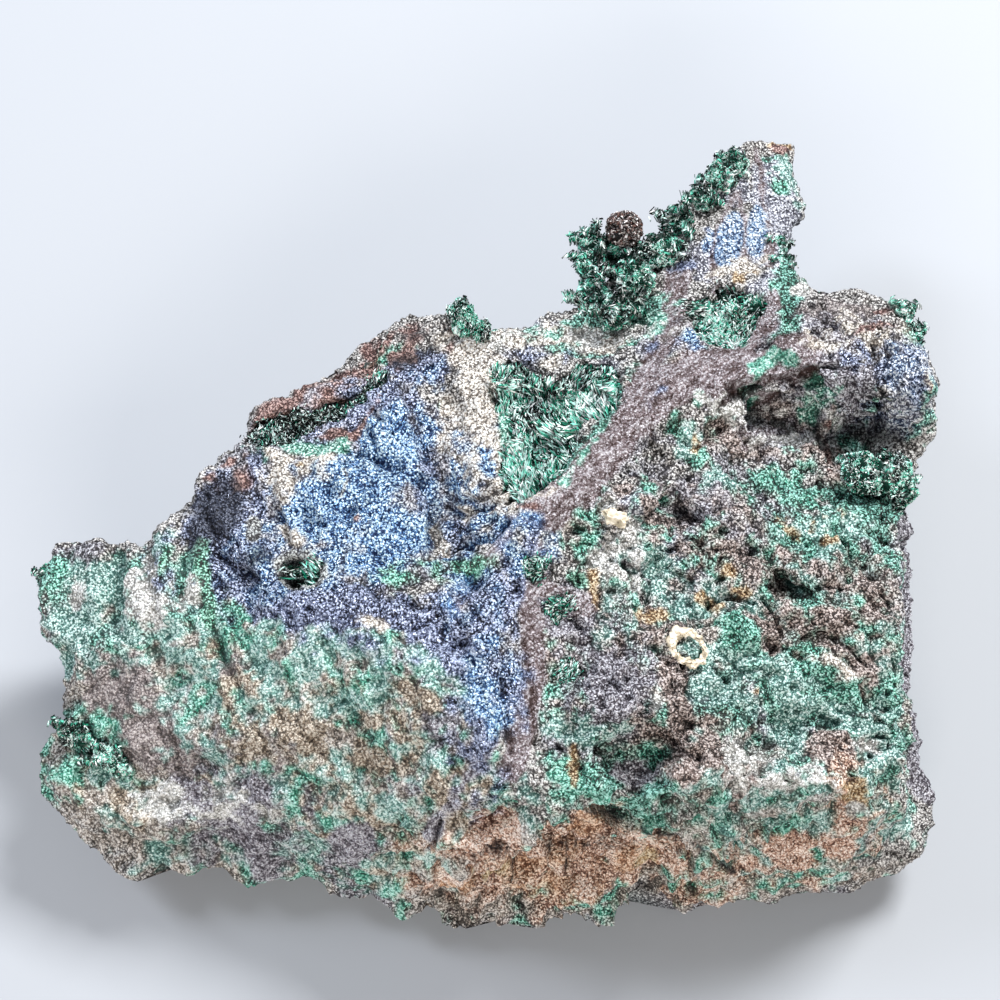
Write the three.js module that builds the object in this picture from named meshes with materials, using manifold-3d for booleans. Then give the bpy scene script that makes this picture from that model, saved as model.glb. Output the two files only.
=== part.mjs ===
// Brochantite on bornite: a broken hand specimen lying on its back, crystals up.
// Millimetres, +Z up. X runs along the long side of the face and +Y towards the peak.
// The origin is under the middle of the whole specimen, on the surface it lies on.
import * as THREE from "three";
import { mergeVertices } from "three/addons/utils/BufferGeometryUtils.js";
import Module from "manifold-3d";

const wasm = await Module();
wasm.setup();

// ---------------------------------------------------------------- driving sizes
const GAP = 0.3; // clear space between the rock and whatever grew on it
const STATIONS = 72; // points round the broken edge
const FACE_RINGS = 13; // rings of points from the middle of the face to its edge
const RING_HALVINGS = [0.62, 0.3, 0.14]; // shares of the way out where rings halve
const WALL_DROPS = [0.3, 0.65, 1, 1.4]; // 0 face edge, 1 widest line, 2 base
const BASE_RINGS = [[1, 2], [0.72, 2], [0.42, 4], [0.18, 8]]; // share of the way out, thinned by
const BULGE = 0.6; // below 1 the walls round outwards under the face edge
const MIDDLE = [3, -18]; // where the rings start: every edge point can be seen from here
const SMOOTH_SIDE = 0.9; // height of the broken grain on the left of the face
const ROUGH_SIDE = 1.9; // and on its right
const ROUGH_FROM_TO = [-5, 16]; // x over which the one passes into the other
const FACE_GRAIN = 8; // width of the lumps of the face
const WALL_GRAIN = 10; // width of the lumps of the walls
const WALL_ROUGHNESS = 4.5; // depth of the broken grain of the walls
const SPOT_REACH = 5.2; // how far one surveyed height is felt
const BASE_HOLLOW = 2.2; // depth of the dents in the underside
const FOOT = [2, -18, 9]; // x, y and radius of the flat that the mount is measured on
const DETAIL_SIZES = [4.1, 9]; // half sizes above which a rounded lump gets more faces
const DISH = 2.6; // how far the middle of a lining is dished
const WALL = 0.9; // thickness that a lining keeps against the sides of its hollow
const GOLDEN_ANGLE = Math.PI * (3 - Math.sqrt(5));
const UP = new THREE.Vector3(0, 0, 1);

const COLOURS = {
  bornite: { color: "#57535f", roughness: 0.62, metalness: 0.35 },
  brochantite: { color: "#1f6b4c", roughness: 0.32, metalness: 0 },
  goethite: { color: "#33241f", roughness: 0.4, metalness: 0 },
  calcite: { color: "#d8cdb4", roughness: 0.6, metalness: 0 },
};

// The broken edge, anticlockwise from the right: x, y, height of the widest line,
// how far the face stops short of it, and how far the base is undercut.
const EDGE = [
  [52.6, 5, 20, 2.5, 9], [54.9, 9.2, 21.5, 2, 12], [54, 13, 22, 2, 12],
  [53.6, 17, 23, 2, 13], [53.6, 21.2, 24, 2, 14], [51.3, 23, 25, 2, 14],
  [47.6, 21.6, 26, 2, 13], [46, 23, 26, 2, 13], [42.9, 24, 25, 2, 13],
  [39.6, 24.6, 22, 2, 13], [37.7, 29.8, 20, 2, 15], [38.4, 34, 20, 2, 17],
  [40.4, 38.8, 20, 2, 20], [40.2, 44.4, 19, 2, 23], [39.6, 50, 19, 1.5, 26],
  [36.6, 50.6, 19, 1.5, 26], [33.4, 49.6, 19, 1.5, 25], [30.4, 45.6, 19, 2, 22],
  [27.6, 41.4, 20, 2, 19], [23, 35.4, 19, 2.5, 17], [17.4, 31, 18.5, 3, 16],
  [11.6, 25.4, 19, 3, 15], [7.4, 20, 23, 2, 12], [2.7, 18, 24, 2, 11],
  [-2.3, 21.4, 24, 1.5, 12], [-7.8, 22.6, 23.5, 1.5, 13], [-12.8, 20.8, 22.5, 1.5, 13],
  [-17.9, 17, 21.5, 1.5, 12], [-23.3, 13, 20, 1.5, 12], [-28.7, 10.2, 19, 1.5, 11],
  [-29.6, 6.3, 18, 2, 11], [-34.1, 2.3, 17, 2.5, 10], [-36.6, -1.1, 17, 2.5, 10],
  [-39.5, -6.2, 17, 2, 10], [-45.6, -7, 16.5, 2, 12], [-51.8, -7.3, 15.5, 2, 13],
  [-55.1, -9.7, 14.5, 1.5, 13], [-53.2, -13.4, 14, 2, 11], [-53.2, -16.9, 13, 2, 11],
  [-49.9, -21.1, 12.5, 2, 9], [-49.3, -26.3, 11.5, 2, 8], [-52.6, -29.7, 10.5, 2.5, 8],
  [-53.2, -33.4, 9, 3, 8], [-52, -37.2, 8, 4.5, 7], [-47.2, -40.6, 7, 5.5, 6],
  [-43.8, -43.8, 6, 7, 6], [-39.6, -44.2, 6, 8, 6], [-36.4, -42.6, 6.5, 8, 5],
  [-33.2, -42.8, 6, 8, 5], [-28.6, -44.9, 5.5, 9, 5], [-25.7, -43.8, 5.5, 9, 5],
  [-22.4, -45.4, 5, 9, 5], [-19.2, -46.2, 5, 9, 5], [-15.6, -46.2, 4.5, 9.5, 5],
  [-8, -48.4, 4, 10, 5], [-2.7, -49.6, 3, 10, 4], [3.8, -50.1, 3, 9.5, 4],
  [10.3, -49.4, 3, 9, 4], [13.3, -48.8, 3, 8.5, 4], [16.4, -47, 3.5, 8, 4],
  [19, -46.2, 4, 8, 4], [23.9, -47.9, 3.5, 9.5, 4], [29.8, -47, 4, 10.5, 4],
  [36.9, -46.4, 4, 12, 4], [44.3, -45.5, 4, 12, 5], [50.1, -42.8, 5, 10, 5],
  [52.9, -38.4, 6, 8, 5], [53, -34.1, 7, 6, 6], [51.6, -26, 8, 4.5, 6],
  [52.4, -15.6, 8, 4.5, 7], [52.5, -5.8, 10, 4, 8], [51.2, -1.5, 17, 3, 9],
];

// Heights of the face at places on it, before ridges and pits: x, y, z.
const SPOTS = [
  // blue tarnished slope and the pale band beside it
  [-15.9, -8.1, 26.6], [-10.6, 10.8, 25.5], [-5.7, 6, 25.6], [-4.9, -10.2, 26.6],
  [-1, 8, 27.8], [-9.8, -20.9, 28], [-2, -28.4, 29], [-24, -2, 24.5], [-17, 4, 25.2],
  // purple vein, which stands highest
  [25, 9.5, 31.2], [17.8, 5.5, 31.4], [10.6, -2.5, 31.6], [3.7, -11.1, 31],
  [0.3, -22.1, 30.8], [-1.3, -35.3, 29], [-4, -41.5, 23],
  // left slope down to the tip and the corner
  [-30.4, -6.2, 22.6], [-33.6, -12.7, 22.4], [-39.7, -15.2, 20.5], [-48.6, -14, 17],
  [-50, -23.5, 14], [-41.3, -26, 18.6], [-30.4, -28.3, 22.2], [-21, -29.3, 25.3],
  [-15.1, -38.3, 23], [-26.6, -38.6, 18.6], [-38.8, -35.9, 15], [-45, -38.6, 11.5],
  [-18.3, -42.5, 13], [-31.2, -41, 11.5],
  // rough right half
  [12.8, -14, 29.2], [14.8, -24.9, 29.2], [24.3, -13.5, 28.2], [22.7, -23.5, 28.6],
  [33, -20.9, 28], [41.2, -18, 27.2], [44.1, -29.3, 25], [44.6, -37.5, 20],
  [34.5, -37.2, 25], [23.2, -37.6, 28], [7.9, -39.4, 29], [1.4, -41.4, 24.5],
  [47.5, -8, 25], [35.5, -8, 27.6], [26, -4, 28.6],
  // recess under the ledge, the ledge block and the right shoulder
  [30.6, 4, 25.6], [40.5, 3.8, 23.4], [48.5, 2, 22.4], [40, 10.5, 29.8],
  [42, 16.5, 30.4], [49, 12, 28.8], [50, 20, 27], [33.5, 11.5, 30],
  // crest, upper pocket and peak
  [8.5, 3.1, 29], [18.6, 18, 27.6], [13.4, 21.4, 23], [17, 26.6, 21.8], [21.6, 32.4, 20.6],
  [5, 15.5, 27], [30.6, 20.9, 28.6], [30.2, 30, 26.8], [34.9, 41.7, 23.4], [36.6, 48, 21.6],
  [24.4, 27, 27], [27.6, 33.4, 25.6], [-23, 10.3, 22], [-13.2, 16.2, 24.2], [-3, 17, 25.8],
];

// Ridges (positive) and grooves (negative) laid on the face: a path, half its
// width, and its rise.
const FOLDS = [
  { path: [[38, 10], [26, 9.5], [17.5, 5], [10, -3], [4, -11], [1, -22], [-1, -34]], half: 4.5, rise: 1.3 },
  { path: [[-6.5, 10], [-6, 4], [-5.2, -3], [-4.6, -11]], half: 3.2, rise: -2.4 },
  { path: [[-4.6, -4], [0, -5.5], [4.5, -6]], half: 2, rise: -1.4 },
  { path: [[-4.6, -8], [-0.5, -9.5], [2, -9]], half: 1.8, rise: -1.2 },
  { path: [[-12.5, 12], [-12, 5], [-16, 0], [-22, -3]], half: 4, rise: 1 },
  { path: [[-28, -10], [-22, -18], [-14, -22], [-8, -31]], half: 4, rise: 1.2 },
  { path: [[-47, -10], [-46, -20]], half: 4, rise: 1.7 },
  { path: [[-38.5, -10], [-37.5, -21]], half: 3.6, rise: 1.9 },
  { path: [[-50.5, -27], [-46, -30.5], [-40, -35], [-35, -36.8]], half: 2.6, rise: -2.2 },
  { path: [[-36, -22], [-33.5, -31], [-30, -36]], half: 3.4, rise: -1.5 },
  { path: [[-26, -25], [-23, -33], [-20, -38]], half: 3.4, rise: -1.5 },
  { path: [[20, 18], [24, 25], [28, 33], [33, 42]], half: 3.4, rise: 1 },
  { path: [[34, 24], [35.5, 33], [37.5, 45]], half: 2.6, rise: 0.9 },
  { path: [[20, 7], [29, 10.8], [36, 10]], half: 2.2, rise: 0.8 },
];

// Hollows sunk in the face by a rounded tool: centre, half sizes, turn in degrees.
const PITS = [
  { at: [16.8, -37.2, 30.4], half: [5.6, 3.8, 6.2], turn: -6 }, // biggest, under a brow
  { at: [21.8, -8, 31], half: [4.6, 3, 4.2], turn: 20 },
  { at: [34, -16.6, 30], half: [3.8, 2, 4.4], turn: -35 },
  { at: [38.6, -23.4, 29.4], half: [4.2, 2.6, 3.6], turn: 10 },
  { at: [38.6, -34, 27.6], half: [4, 3.2, 3.8], turn: 0 },
];

// Undercuts that leave an overhang above them: centre, half sizes, turn.
const UNDERCUTS = [
  { at: [45.6, 4, 24], half: [7.2, 3.4, 2.8], turn: 3 },
  { at: [36, 5.4, 26.4], half: [6, 3.4, 3], turn: -12 },
];

// Blocks that stand on the face: centre, half sizes, turn.
const BLOCKS = [
  { at: [43.6, 13.4, 26.4], half: [8.6, 7.6, 5], turn: 8, rough: 0.5 }, // dark ledge block
  { at: [37.6, 13.8, 28.4], half: [5, 4.6, 3.8], turn: 20, rough: 0.4 },
  { at: [50.2, 12.8, 25], half: [3.8, 5.6, 4.4], turn: 0, rough: 0.5 }, // blue block right of the crack
  { at: [16.4, -31.4, 28.6], half: [6.6, 3.2, 2.6], turn: 8 }, // brow of the biggest pit
  { at: [-46, -34.6, 9], half: [5, 5, 5], turn: 30 }, // lower left knuckle
];

// Hollows lined with crystals: the tools that cut each, how far its lining stops
// short of the face, and its crystals.
const POCKETS = {
  brochantite_heart_pocket: {
    tools: [
      { at: [4.6, 8.6, 28.6], half: [3.8, 5.4, 5.6], turn: 12 },
      { at: [11.6, 8.2, 29], half: [4.2, 5.4, 5.6], turn: -16 },
      { at: [6.6, 0.4, 29.4], half: [4.6, 6.6, 5.6], turn: -20 },
    ],
    sunk: 1.2, blades: 3, length: 5.6, width: 2.4,
  },
  brochantite_upper_pocket: {
    tools: [
      { at: [28.4, 18.2, 28.8], half: [4.6, 4.2, 4.4], turn: -20 },
      { at: [31, 21, 28], half: [4, 1.9, 4], turn: -30 },
    ],
    sunk: 1, blades: 3, length: 4.4, width: 1.8,
  },
  brochantite_shoulder_seam: {
    tools: [
      { at: [-24.8, 6, 22.6], half: [5, 2.2, 3.8], turn: 12 },
      { at: [-18.4, 8.2, 24], half: [4, 1.9, 3.8], turn: 26 },
      { at: [-14.6, 11, 24.8], half: [3.8, 1.8, 3.6], turn: 52 },
    ],
    sunk: 1.5, blades: 2, length: 3.8, width: 1.6,
  },
  brochantite_left_vug: {
    tools: [{ at: [-21.6, -13.8, 25.8], half: [3, 2.1, 3.8], turn: -25 }],
    sunk: 0.9, blades: 3, length: 3.2, width: 1.3,
  },
  brochantite_upper_vug: {
    tools: [{ at: [5.4, -15.8, 31.8], half: [1.7, 2.2, 2.8], turn: 15 }],
    sunk: 0.6, blades: 2, length: 2, width: 1.1,
  },
  brochantite_middle_vug: {
    tools: [{ at: [7.8, -20.2, 30.6], half: [2.1, 2.4, 3], turn: -10 }],
    sunk: 0.6, blades: 2, length: 2.2, width: 1.2,
  },
  brochantite_lower_vug: {
    tools: [{ at: [9, -27, 29.4], half: [1.6, 3, 2.8], turn: -8 }],
    sunk: 0.6, blades: 2, length: 2, width: 1.1,
  },
};

// Crystals standing proud: the rounded roots that they grow from, which way they
// lean, and the size and number of blades on each root.
const CLUSTERS = {
  brochantite_crest_spray: {
    roots: [
      { at: [12.4, 23.8, 23.8], half: [3, 3.2, 2.8] }, { at: [12.6, 28.4, 24], half: [3, 3, 2.8] },
      { at: [12.2, 32.2, 24], half: [2.4, 2.4, 2.6] }, { at: [16.8, 30.4, 24], half: [3, 3.4, 2.8] },
      { at: [15, 20.2, 26.4], half: [2.8, 3.2, 2.6] }, { at: [17.6, 25, 26], half: [3.6, 3.6, 2.8] },
      { at: [21.4, 30, 25.2], half: [3.4, 3.6, 3] }, { at: [24, 35, 24.8], half: [2.6, 3, 2.6] },
    ],
    lean: [-0.35, 0.25, 0.9], blades: 3, length: 1.8, width: 1.7,
  },
  brochantite_peak_druse: {
    roots: [
      { at: [26.6, 38.4, 24.8], half: [2.3, 2.8, 2.2] }, { at: [28.6, 41.8, 24.4], half: [2.4, 2.8, 2.2] },
      { at: [31, 44.8, 23.6], half: [2.6, 2.6, 2.2] },
    ],
    lean: [-0.5, 0.2, 0.85], blades: 3, length: 0.8, width: 1.4,
  },
  brochantite_peak_edge: {
    roots: [
      { at: [37.4, 30, 25.2], half: [1.8, 3, 2.2] }, { at: [37.2, 25.6, 26.8], half: [1.9, 3, 2.2] },
      { at: [36.4, 21.4, 28.4], half: [1.9, 3, 2.2] },
    ],
    lean: [0.4, 0, 0.9], blades: 3, length: 0.7, width: 1.2,
  },
  brochantite_left_knob: {
    roots: [
      { at: [-2.4, 21.4, 25], half: [2.7, 2.4, 2.4] }, { at: [-3, 23.4, 24.4], half: [2, 2.2, 2.2] },
      { at: [0.8, 19.8, 25.8], half: [1.8, 1.6, 1.6] },
    ],
    lean: [-0.1, 0.4, 0.9], blades: 3, length: 0.9, width: 1.4,
  },
  brochantite_edge_druse: {
    roots: [
      { at: [45, -1.2, 24], half: [4.1, 4.1, 4.1], turn: 6 },
      { at: [48.6, -1, 22.6], half: [2.8, 3.6, 4.2] },
    ],
    lean: [0.2, -0.4, 0.9], blades: 4, length: 0.6, width: 1.4,
  },
  brochantite_corner_tuft: {
    roots: [
      { at: [50.8, 20.8, 28], half: [2.4, 2.2, 2.4] }, { at: [52.4, 18, 27], half: [1.8, 2.2, 2] },
    ],
    lean: [0.4, 0.3, 0.85], blades: 3, length: 0.7, width: 1.3,
  },
  brochantite_left_tip: {
    roots: [{ at: [-53.4, -10.2, 15.8], half: [1.9, 2.2, 1.8] }],
    lean: [-0.5, 0, 0.85], blades: 3, length: 0.5, width: 1.3,
  },
  brochantite_lower_left_seam: {
    roots: [
      { at: [-49, -29, 13.4], half: [3.8, 2.2, 2.4], turn: -30 },
      { at: [-44, -32.4, 13.8], half: [4, 2.2, 2.4], turn: -35 },
      { at: [-38.6, -35.8, 14.4], half: [3.6, 1.9, 2.2], turn: -25 },
    ],
    lean: [-0.1, -0.2, 0.95], blades: 2, length: 0.6, width: 1.4,
  },
};

// Three odd grains of other minerals.
const BALL = { at: [17.2, 32.3, 26.4], half: [2.4, 2.4, 2.4], rough: 0.1 };
const WHITE_GRAIN = { at: [14.8, -9.2, 30.6], half: [1.8, 1.2, 1.4], turn: -20, rough: 0.4 };
const PALE_RING = { at: [22.6, -24.4, 29.4], radius: 1.9, thickness: 0.6, stretch: 1.3, turn: 35 };

// ---------------------------------------------------------------- numbers that repeat
// Repeatable noise on a unit lattice, -1 to 1.
function lattice(i, j, k) {
  let h = Math.imul(i, 374761393) ^ Math.imul(j, 668265263) ^ Math.imul(k, 2246822519);
  h = Math.imul(h ^ (h >>> 13), 1274126177);
  return ((h ^ (h >>> 16)) >>> 0) / 2147483648 - 1;
}

function noise(x, y, z) {
  const cell = [x, y, z].map(Math.floor);
  const part = [x, y, z].map((value, axis) => THREE.MathUtils.smoothstep(value - cell[axis], 0, 1));
  let sum = 0;
  for (const corner of [0, 1, 2, 3, 4, 5, 6, 7]) {
    const step = [corner & 1, (corner >> 1) & 1, corner >> 2];
    const weight = step.reduce((w, on, axis) => w * (on ? part[axis] : 1 - part[axis]), 1);
    sum += weight * lattice(cell[0] + step[0], cell[1] + step[1], cell[2] + step[2]);
  }
  return sum;
}

// Noise with one finer octave; size is the width of its largest lumps.
function grain(x, y, z, size) {
  return 0.65 * noise(x / size, y / size, z / size)
    + 0.35 * noise(2.3 * x / size + 7, 2.3 * y / size, 2.3 * z / size);
}

// A seeded source of numbers from 0 to 1.
function dice(seed) {
  let state = seed;
  return () => {
    state = (Math.imul(state, 1664525) + 1013904223) >>> 0;
    return state / 4294967296;
  };
}

// ---------------------------------------------------------------- the rock
// Shortest distance from a point to a path of straight legs.
function distanceToPath(x, y, path) {
  let best = Infinity;
  for (let leg = 1; leg < path.length; leg += 1) {
    const [ax, ay] = path[leg - 1];
    const [bx, by] = path[leg];
    const length2 = (bx - ax) ** 2 + (by - ay) ** 2;
    const along = THREE.MathUtils.clamp(((x - ax) * (bx - ax) + (y - ay) * (by - ay)) / length2, 0, 1);
    best = Math.min(best, Math.hypot(x - ax - along * (bx - ax), y - ay - along * (by - ay)));
  }
  return best;
}

function faceHeight(x, y) {
  let weights = 0;
  let sum = 0;
  for (const [sx, sy, sz] of SPOTS) {
    const weight = Math.exp(-((x - sx) ** 2 + (y - sy) ** 2) / (2 * SPOT_REACH ** 2)) + 1e-6;
    weights += weight;
    sum += weight * sz;
  }
  let height = sum / weights;
  for (const { path, half, rise } of FOLDS) {
    const away = Math.min(distanceToPath(x, y, path) / half, 1);
    height += rise * (1 - away * away) ** 2;
  }
  const towardsRough = THREE.MathUtils.smoothstep(x, ...ROUGH_FROM_TO);
  const roughness = THREE.MathUtils.lerp(SMOOTH_SIDE, ROUGH_SIDE, towardsRough);
  return height + roughness * grain(x, y, 0, FACE_GRAIN);
}

// The edge, resampled at equal steps along its length.
function stationsOf(edge, count) {
  const corners = edge.map((row) => new THREE.Vector2(row[0], row[1]));
  const lengths = [0];
  corners.forEach((corner, i) => {
    const next = corners[(i + 1) % corners.length];
    lengths.push(lengths[i] + corner.distanceTo(next));
  });
  const total = lengths[corners.length];
  const stations = [];
  let leg = 0;
  for (let i = 0; i < count; i += 1) {
    const target = (total * i) / count;
    while (lengths[leg + 1] < target) leg += 1;
    const part = (target - lengths[leg]) / (lengths[leg + 1] - lengths[leg]);
    const [from, to] = [edge[leg], edge[(leg + 1) % edge.length]];
    const between = from.map((value, column) => THREE.MathUtils.lerp(value, to[column], part));
    const [x, y, z, inset, undercut] = between;
    stations.push({ x, y, z, inset, undercut });
  }
  return stations;
}

// A point that lies "inward" millimetres inside a station, towards the middle.
function insideStation({ x, y }, inward, share = 1) {
  const reach = Math.hypot(x - MIDDLE[0], y - MIDDLE[1]);
  const kept = ((reach - inward) / reach) * share;
  return [MIDDLE[0] + (x - MIDDLE[0]) * kept, MIDDLE[1] + (y - MIDDLE[1]) * kept];
}

function faceRing(stations, share) {
  return stations.map((station) => {
    const [x, y] = insideStation(station, station.inset, share);
    return [x, y, faceHeight(x, y)];
  });
}

// The wall above (drop 0..1 from the face edge) or below (1..2) the widest line.
function wallRing(stations, drop) {
  return stations.map((station) => {
    const [faceX, faceY] = insideStation(station, station.inset);
    const edgeHeight = Math.max(faceHeight(faceX, faceY), station.z);
    const below = Math.max(drop - 1, 0);
    const z = drop < 1
      ? THREE.MathUtils.lerp(edgeHeight, station.z, drop)
      : station.z * (1 - below);
    const inward = drop < 1
      ? station.inset * (1 - drop ** BULGE)
      : station.undercut * below ** 1.6;
    const bite = Math.max(0.3 + grain(station.x, station.y, z, WALL_GRAIN), 0);
    const rough = drop === 1 ? 0 : WALL_ROUGHNESS * bite;
    const [x, y] = insideStation(station, inward + rough);
    return [x, y, z];
  });
}

// The underside: flat where it rests, with shallow dents elsewhere.
function baseRing(stations, share) {
  return stations.map((station) => {
    const [x, y] = insideStation(station, station.undercut + WALL_ROUGHNESS, share);
    const awayFromFoot = Math.hypot(x - FOOT[0], y - FOOT[1]) > FOOT[2];
    const dent = share < 1 && awayFromFoot ? Math.max(grain(x, y, 40, 11), 0) : 0;
    return [x, y, BASE_HOLLOW * dent];
  });
}

// Every second point of a ring, as often as it takes to come down to count.
function thin(ring, count) {
  return ring.filter((_, i) => i % (ring.length / count) === 0);
}

// Triangles between two rings whose counts are equal, doubled or halved.
function stitch(indices, outer, inner) {
  const sectors = Math.min(outer.count, inner.count);
  for (let i = 0; i < sectors; i += 1) {
    const at = (ring, step) => ring.start + (Math.round((i + step) * (ring.count / sectors)) % ring.count);
    if (outer.count === inner.count) {
      indices.push(at(outer, 0), at(outer, 1), at(inner, 1), at(outer, 0), at(inner, 1), at(inner, 0));
    } else if (outer.count > inner.count) {
      indices.push(at(outer, 0), at(outer, 0.5), at(inner, 0), at(outer, 0.5), at(inner, 1), at(inner, 0));
      indices.push(at(outer, 0.5), at(outer, 1), at(inner, 1));
    } else {
      indices.push(at(outer, 0), at(inner, 0.5), at(inner, 0), at(outer, 0), at(outer, 1), at(inner, 0.5));
      indices.push(at(outer, 1), at(inner, 1), at(inner, 0.5));
    }
  }
}

// The rock as one closed skin, rings from the middle of the face over the edge
// and in under the base, with every point moved out by grow.
function rock(grow = 0) {
  const stations = stationsOf(EDGE, STATIONS);
  const rings = [];
  for (let i = 1; i <= FACE_RINGS; i += 1) {
    const share = i / FACE_RINGS;
    const fewer = RING_HALVINGS.filter((limit) => share < limit).length;
    rings.push(thin(faceRing(stations, share), STATIONS / 2 ** fewer));
  }
  for (const drop of WALL_DROPS) rings.push(wallRing(stations, drop));
  for (const [share, fewer] of BASE_RINGS) rings.push(thin(baseRing(stations, share), STATIONS / fewer));

  const points = [[...MIDDLE, faceHeight(...MIDDLE)]];
  const spans = rings.map((ring) => {
    const start = points.length;
    points.push(...ring);
    return { start, count: ring.length };
  });
  points.push([...MIDDLE, 0]);

  const indices = [];
  const first = spans[0];
  for (let i = 0; i < first.count; i += 1) {
    indices.push(0, first.start + i, first.start + ((i + 1) % first.count));
  }
  for (let i = 1; i < spans.length; i += 1) stitch(indices, spans[i], spans[i - 1]);
  const last = spans[spans.length - 1];
  for (let i = 0; i < last.count; i += 1) {
    indices.push(points.length - 1, last.start + ((i + 1) % last.count), last.start + i);
  }

  const geometry = new THREE.BufferGeometry();
  geometry.setAttribute("position", new THREE.Float32BufferAttribute(points.flat(), 3));
  geometry.setIndex(indices);
  geometry.computeVertexNormals();
  const { position, normal } = geometry.attributes;
  for (let i = 0; i < position.count; i += 1) {
    position.setXYZ(
      i,
      position.getX(i) + grow * normal.getX(i),
      position.getY(i) + grow * normal.getY(i),
      position.getZ(i) + grow * normal.getZ(i),
    );
  }
  return solidOf(geometry);
}

// ---------------------------------------------------------------- solids
function solidOf(geometry) {
  const bare = geometry.clone();
  bare.deleteAttribute("normal");
  bare.deleteAttribute("uv");
  const merged = mergeVertices(bare, 1e-4);
  return new wasm.Manifold(new wasm.Mesh({
    numProp: 3,
    vertProperties: new Float32Array(merged.attributes.position.array),
    triVerts: new Uint32Array(merged.index.array),
  }));
}

function joined(solids) {
  return solids.reduce((whole, solid) => whole.add(solid));
}

// A rough rounded solid: half sizes, turned about Z, swollen by grow.
function lump({ at, half, turn = 0, rough = 0.3 }, grow = 0) {
  const detail = DETAIL_SIZES.filter((size) => Math.max(...half) > size).length;
  const geometry = new THREE.IcosahedronGeometry(1, detail);
  const { position } = geometry.attributes;
  const point = new THREE.Vector3();
  for (let i = 0; i < position.count; i += 1) {
    point.fromBufferAttribute(position, i);
    const swell = 1 + rough * noise(point.x * 1.7 + at[0], point.y * 1.7 + at[1], point.z * 1.7 + at[2]);
    position.setXYZ(i, ...half.map((size, axis) => (size * swell + grow) * point.getComponent(axis)));
  }
  geometry.rotateZ(THREE.MathUtils.degToRad(turn));
  geometry.translate(...at);
  return solidOf(geometry);
}

// Directions spread evenly over the half of a sphere that faces lean.
function fan(count, lean, random) {
  const axis = new THREE.Vector3(...lean).normalize();
  const turn = new THREE.Quaternion().setFromUnitVectors(UP, axis);
  return Array.from({ length: count }, (_, i) => {
    const height = 1 - (i + 0.5) / count;
    const side = Math.sqrt(1 - height * height);
    const angle = i * GOLDEN_ANGLE + random();
    return new THREE.Vector3(side * Math.cos(angle), side * Math.sin(angle), height).applyQuaternion(turn);
  });
}

// A pointed blade, thickest where it stands at root, with its tip "reach" away.
function blade(root, direction, reach, width) {
  const geometry = new THREE.OctahedronGeometry(1);
  geometry.scale(width / 2, width / 3, reach);
  geometry.applyQuaternion(new THREE.Quaternion().setFromUnitVectors(UP, direction));
  geometry.translate(...root);
  return solidOf(geometry);
}

// Blades that fan out of a rounded root and stand clear of it by about length.
function bladesOnRoot({ at, half }, { lean, blades, length, width }, random) {
  return fan(blades, lean, random).map((direction) => {
    const inside = Math.hypot(...half.map((size, axis) => size * direction.getComponent(axis)));
    return blade(at, direction, inside + length * (0.7 + 0.6 * random()), 2 * width);
  });
}

// Blades that stand on the floor of a hollow and lean away from its middle.
function bladesInHollow({ at, half }, { blades, length, width }, random) {
  return fan(blades, [0, 0, 1], random).map((direction) => {
    const [x, y] = [0, 1].map((axis) => at[axis] + 0.55 * half[axis] * direction.getComponent(axis));
    const leaning = direction.clone().add(UP).normalize();
    return blade([x, y, at[2] - 0.6 * half[2]], leaning, length * (0.7 + 0.6 * random()), width);
  });
}

// Keeps the largest body of a solid and leaves out crumbs cut loose from it.
function whole(solid) {
  const { vertProperties, triVerts } = solid.getMesh();
  const parent = Array.from({ length: vertProperties.length / 3 }, (_, i) => i);
  const rootOf = (vertex) => {
    let root = vertex;
    while (parent[root] !== root) root = parent[root];
    parent[vertex] = root;
    return root;
  };
  for (let i = 0; i < triVerts.length; i += 3) {
    parent[rootOf(triVerts[i])] = rootOf(triVerts[i + 1]);
    parent[rootOf(triVerts[i + 1])] = rootOf(triVerts[i + 2]);
  }
  const sizes = new Map();
  triVerts.forEach((vertex) => sizes.set(rootOf(vertex), (sizes.get(rootOf(vertex)) ?? 0) + 1));
  const [largest] = [...sizes].reduce((best, entry) => (entry[1] > best[1] ? entry : best));
  return {
    vertProperties: new Float32Array(vertProperties),
    triVerts: triVerts.filter((_, i) => rootOf(triVerts[i - (i % 3)]) === largest),
  };
}

// ---------------------------------------------------------------- the pieces
function raised([x, y, z], rise) {
  return [x, y, z + rise];
}

// The rock with its blocks and undercuts, moved out by grow.
function stone(grow = 0) {
  const blocks = BLOCKS.map((block) => lump(block, grow));
  const cuts = [...PITS, ...UNDERCUTS].map((cut) => lump(cut, -grow));
  return rock(grow).add(joined(blocks)).subtract(joined(cuts));
}

// Crystals standing proud of the rock, clear of its skin and of their neighbours.
function cluster({ roots, ...crystals }, keptClear, random) {
  const beds = roots.map((root) => lump(root));
  const standing = roots.flatMap((root) => bladesOnRoot(root, crystals, random));
  return joined([...beds, ...standing]).subtract(keptClear);
}

// A lining that fills its hollow to "sunk" below the face, dished in the middle.
function lining({ tools, sunk, ...crystals }, random) {
  const room = joined(tools.map((tool) => lump(tool, -GAP)));
  const dish = joined(tools.map((tool) => lump({ ...tool, at: raised(tool.at, DISH) }, -GAP - WALL)));
  const bed = room.intersect(rock(-sunk)).subtract(dish);
  const standing = tools.flatMap((tool) => bladesInHollow(tool, crystals, random));
  return bed.add(joined(standing).intersect(room));
}

// A lumpy ring of pale crystal lying on the face.
function paleRing({ at, radius, thickness, stretch, turn }, grow = 0) {
  const geometry = new THREE.TorusGeometry(radius, thickness + grow, 4, 9);
  geometry.scale(1, stretch, 1);
  geometry.rotateZ(THREE.MathUtils.degToRad(turn));
  geometry.translate(...at);
  return solidOf(geometry);
}

const specimen = new THREE.Group();

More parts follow.
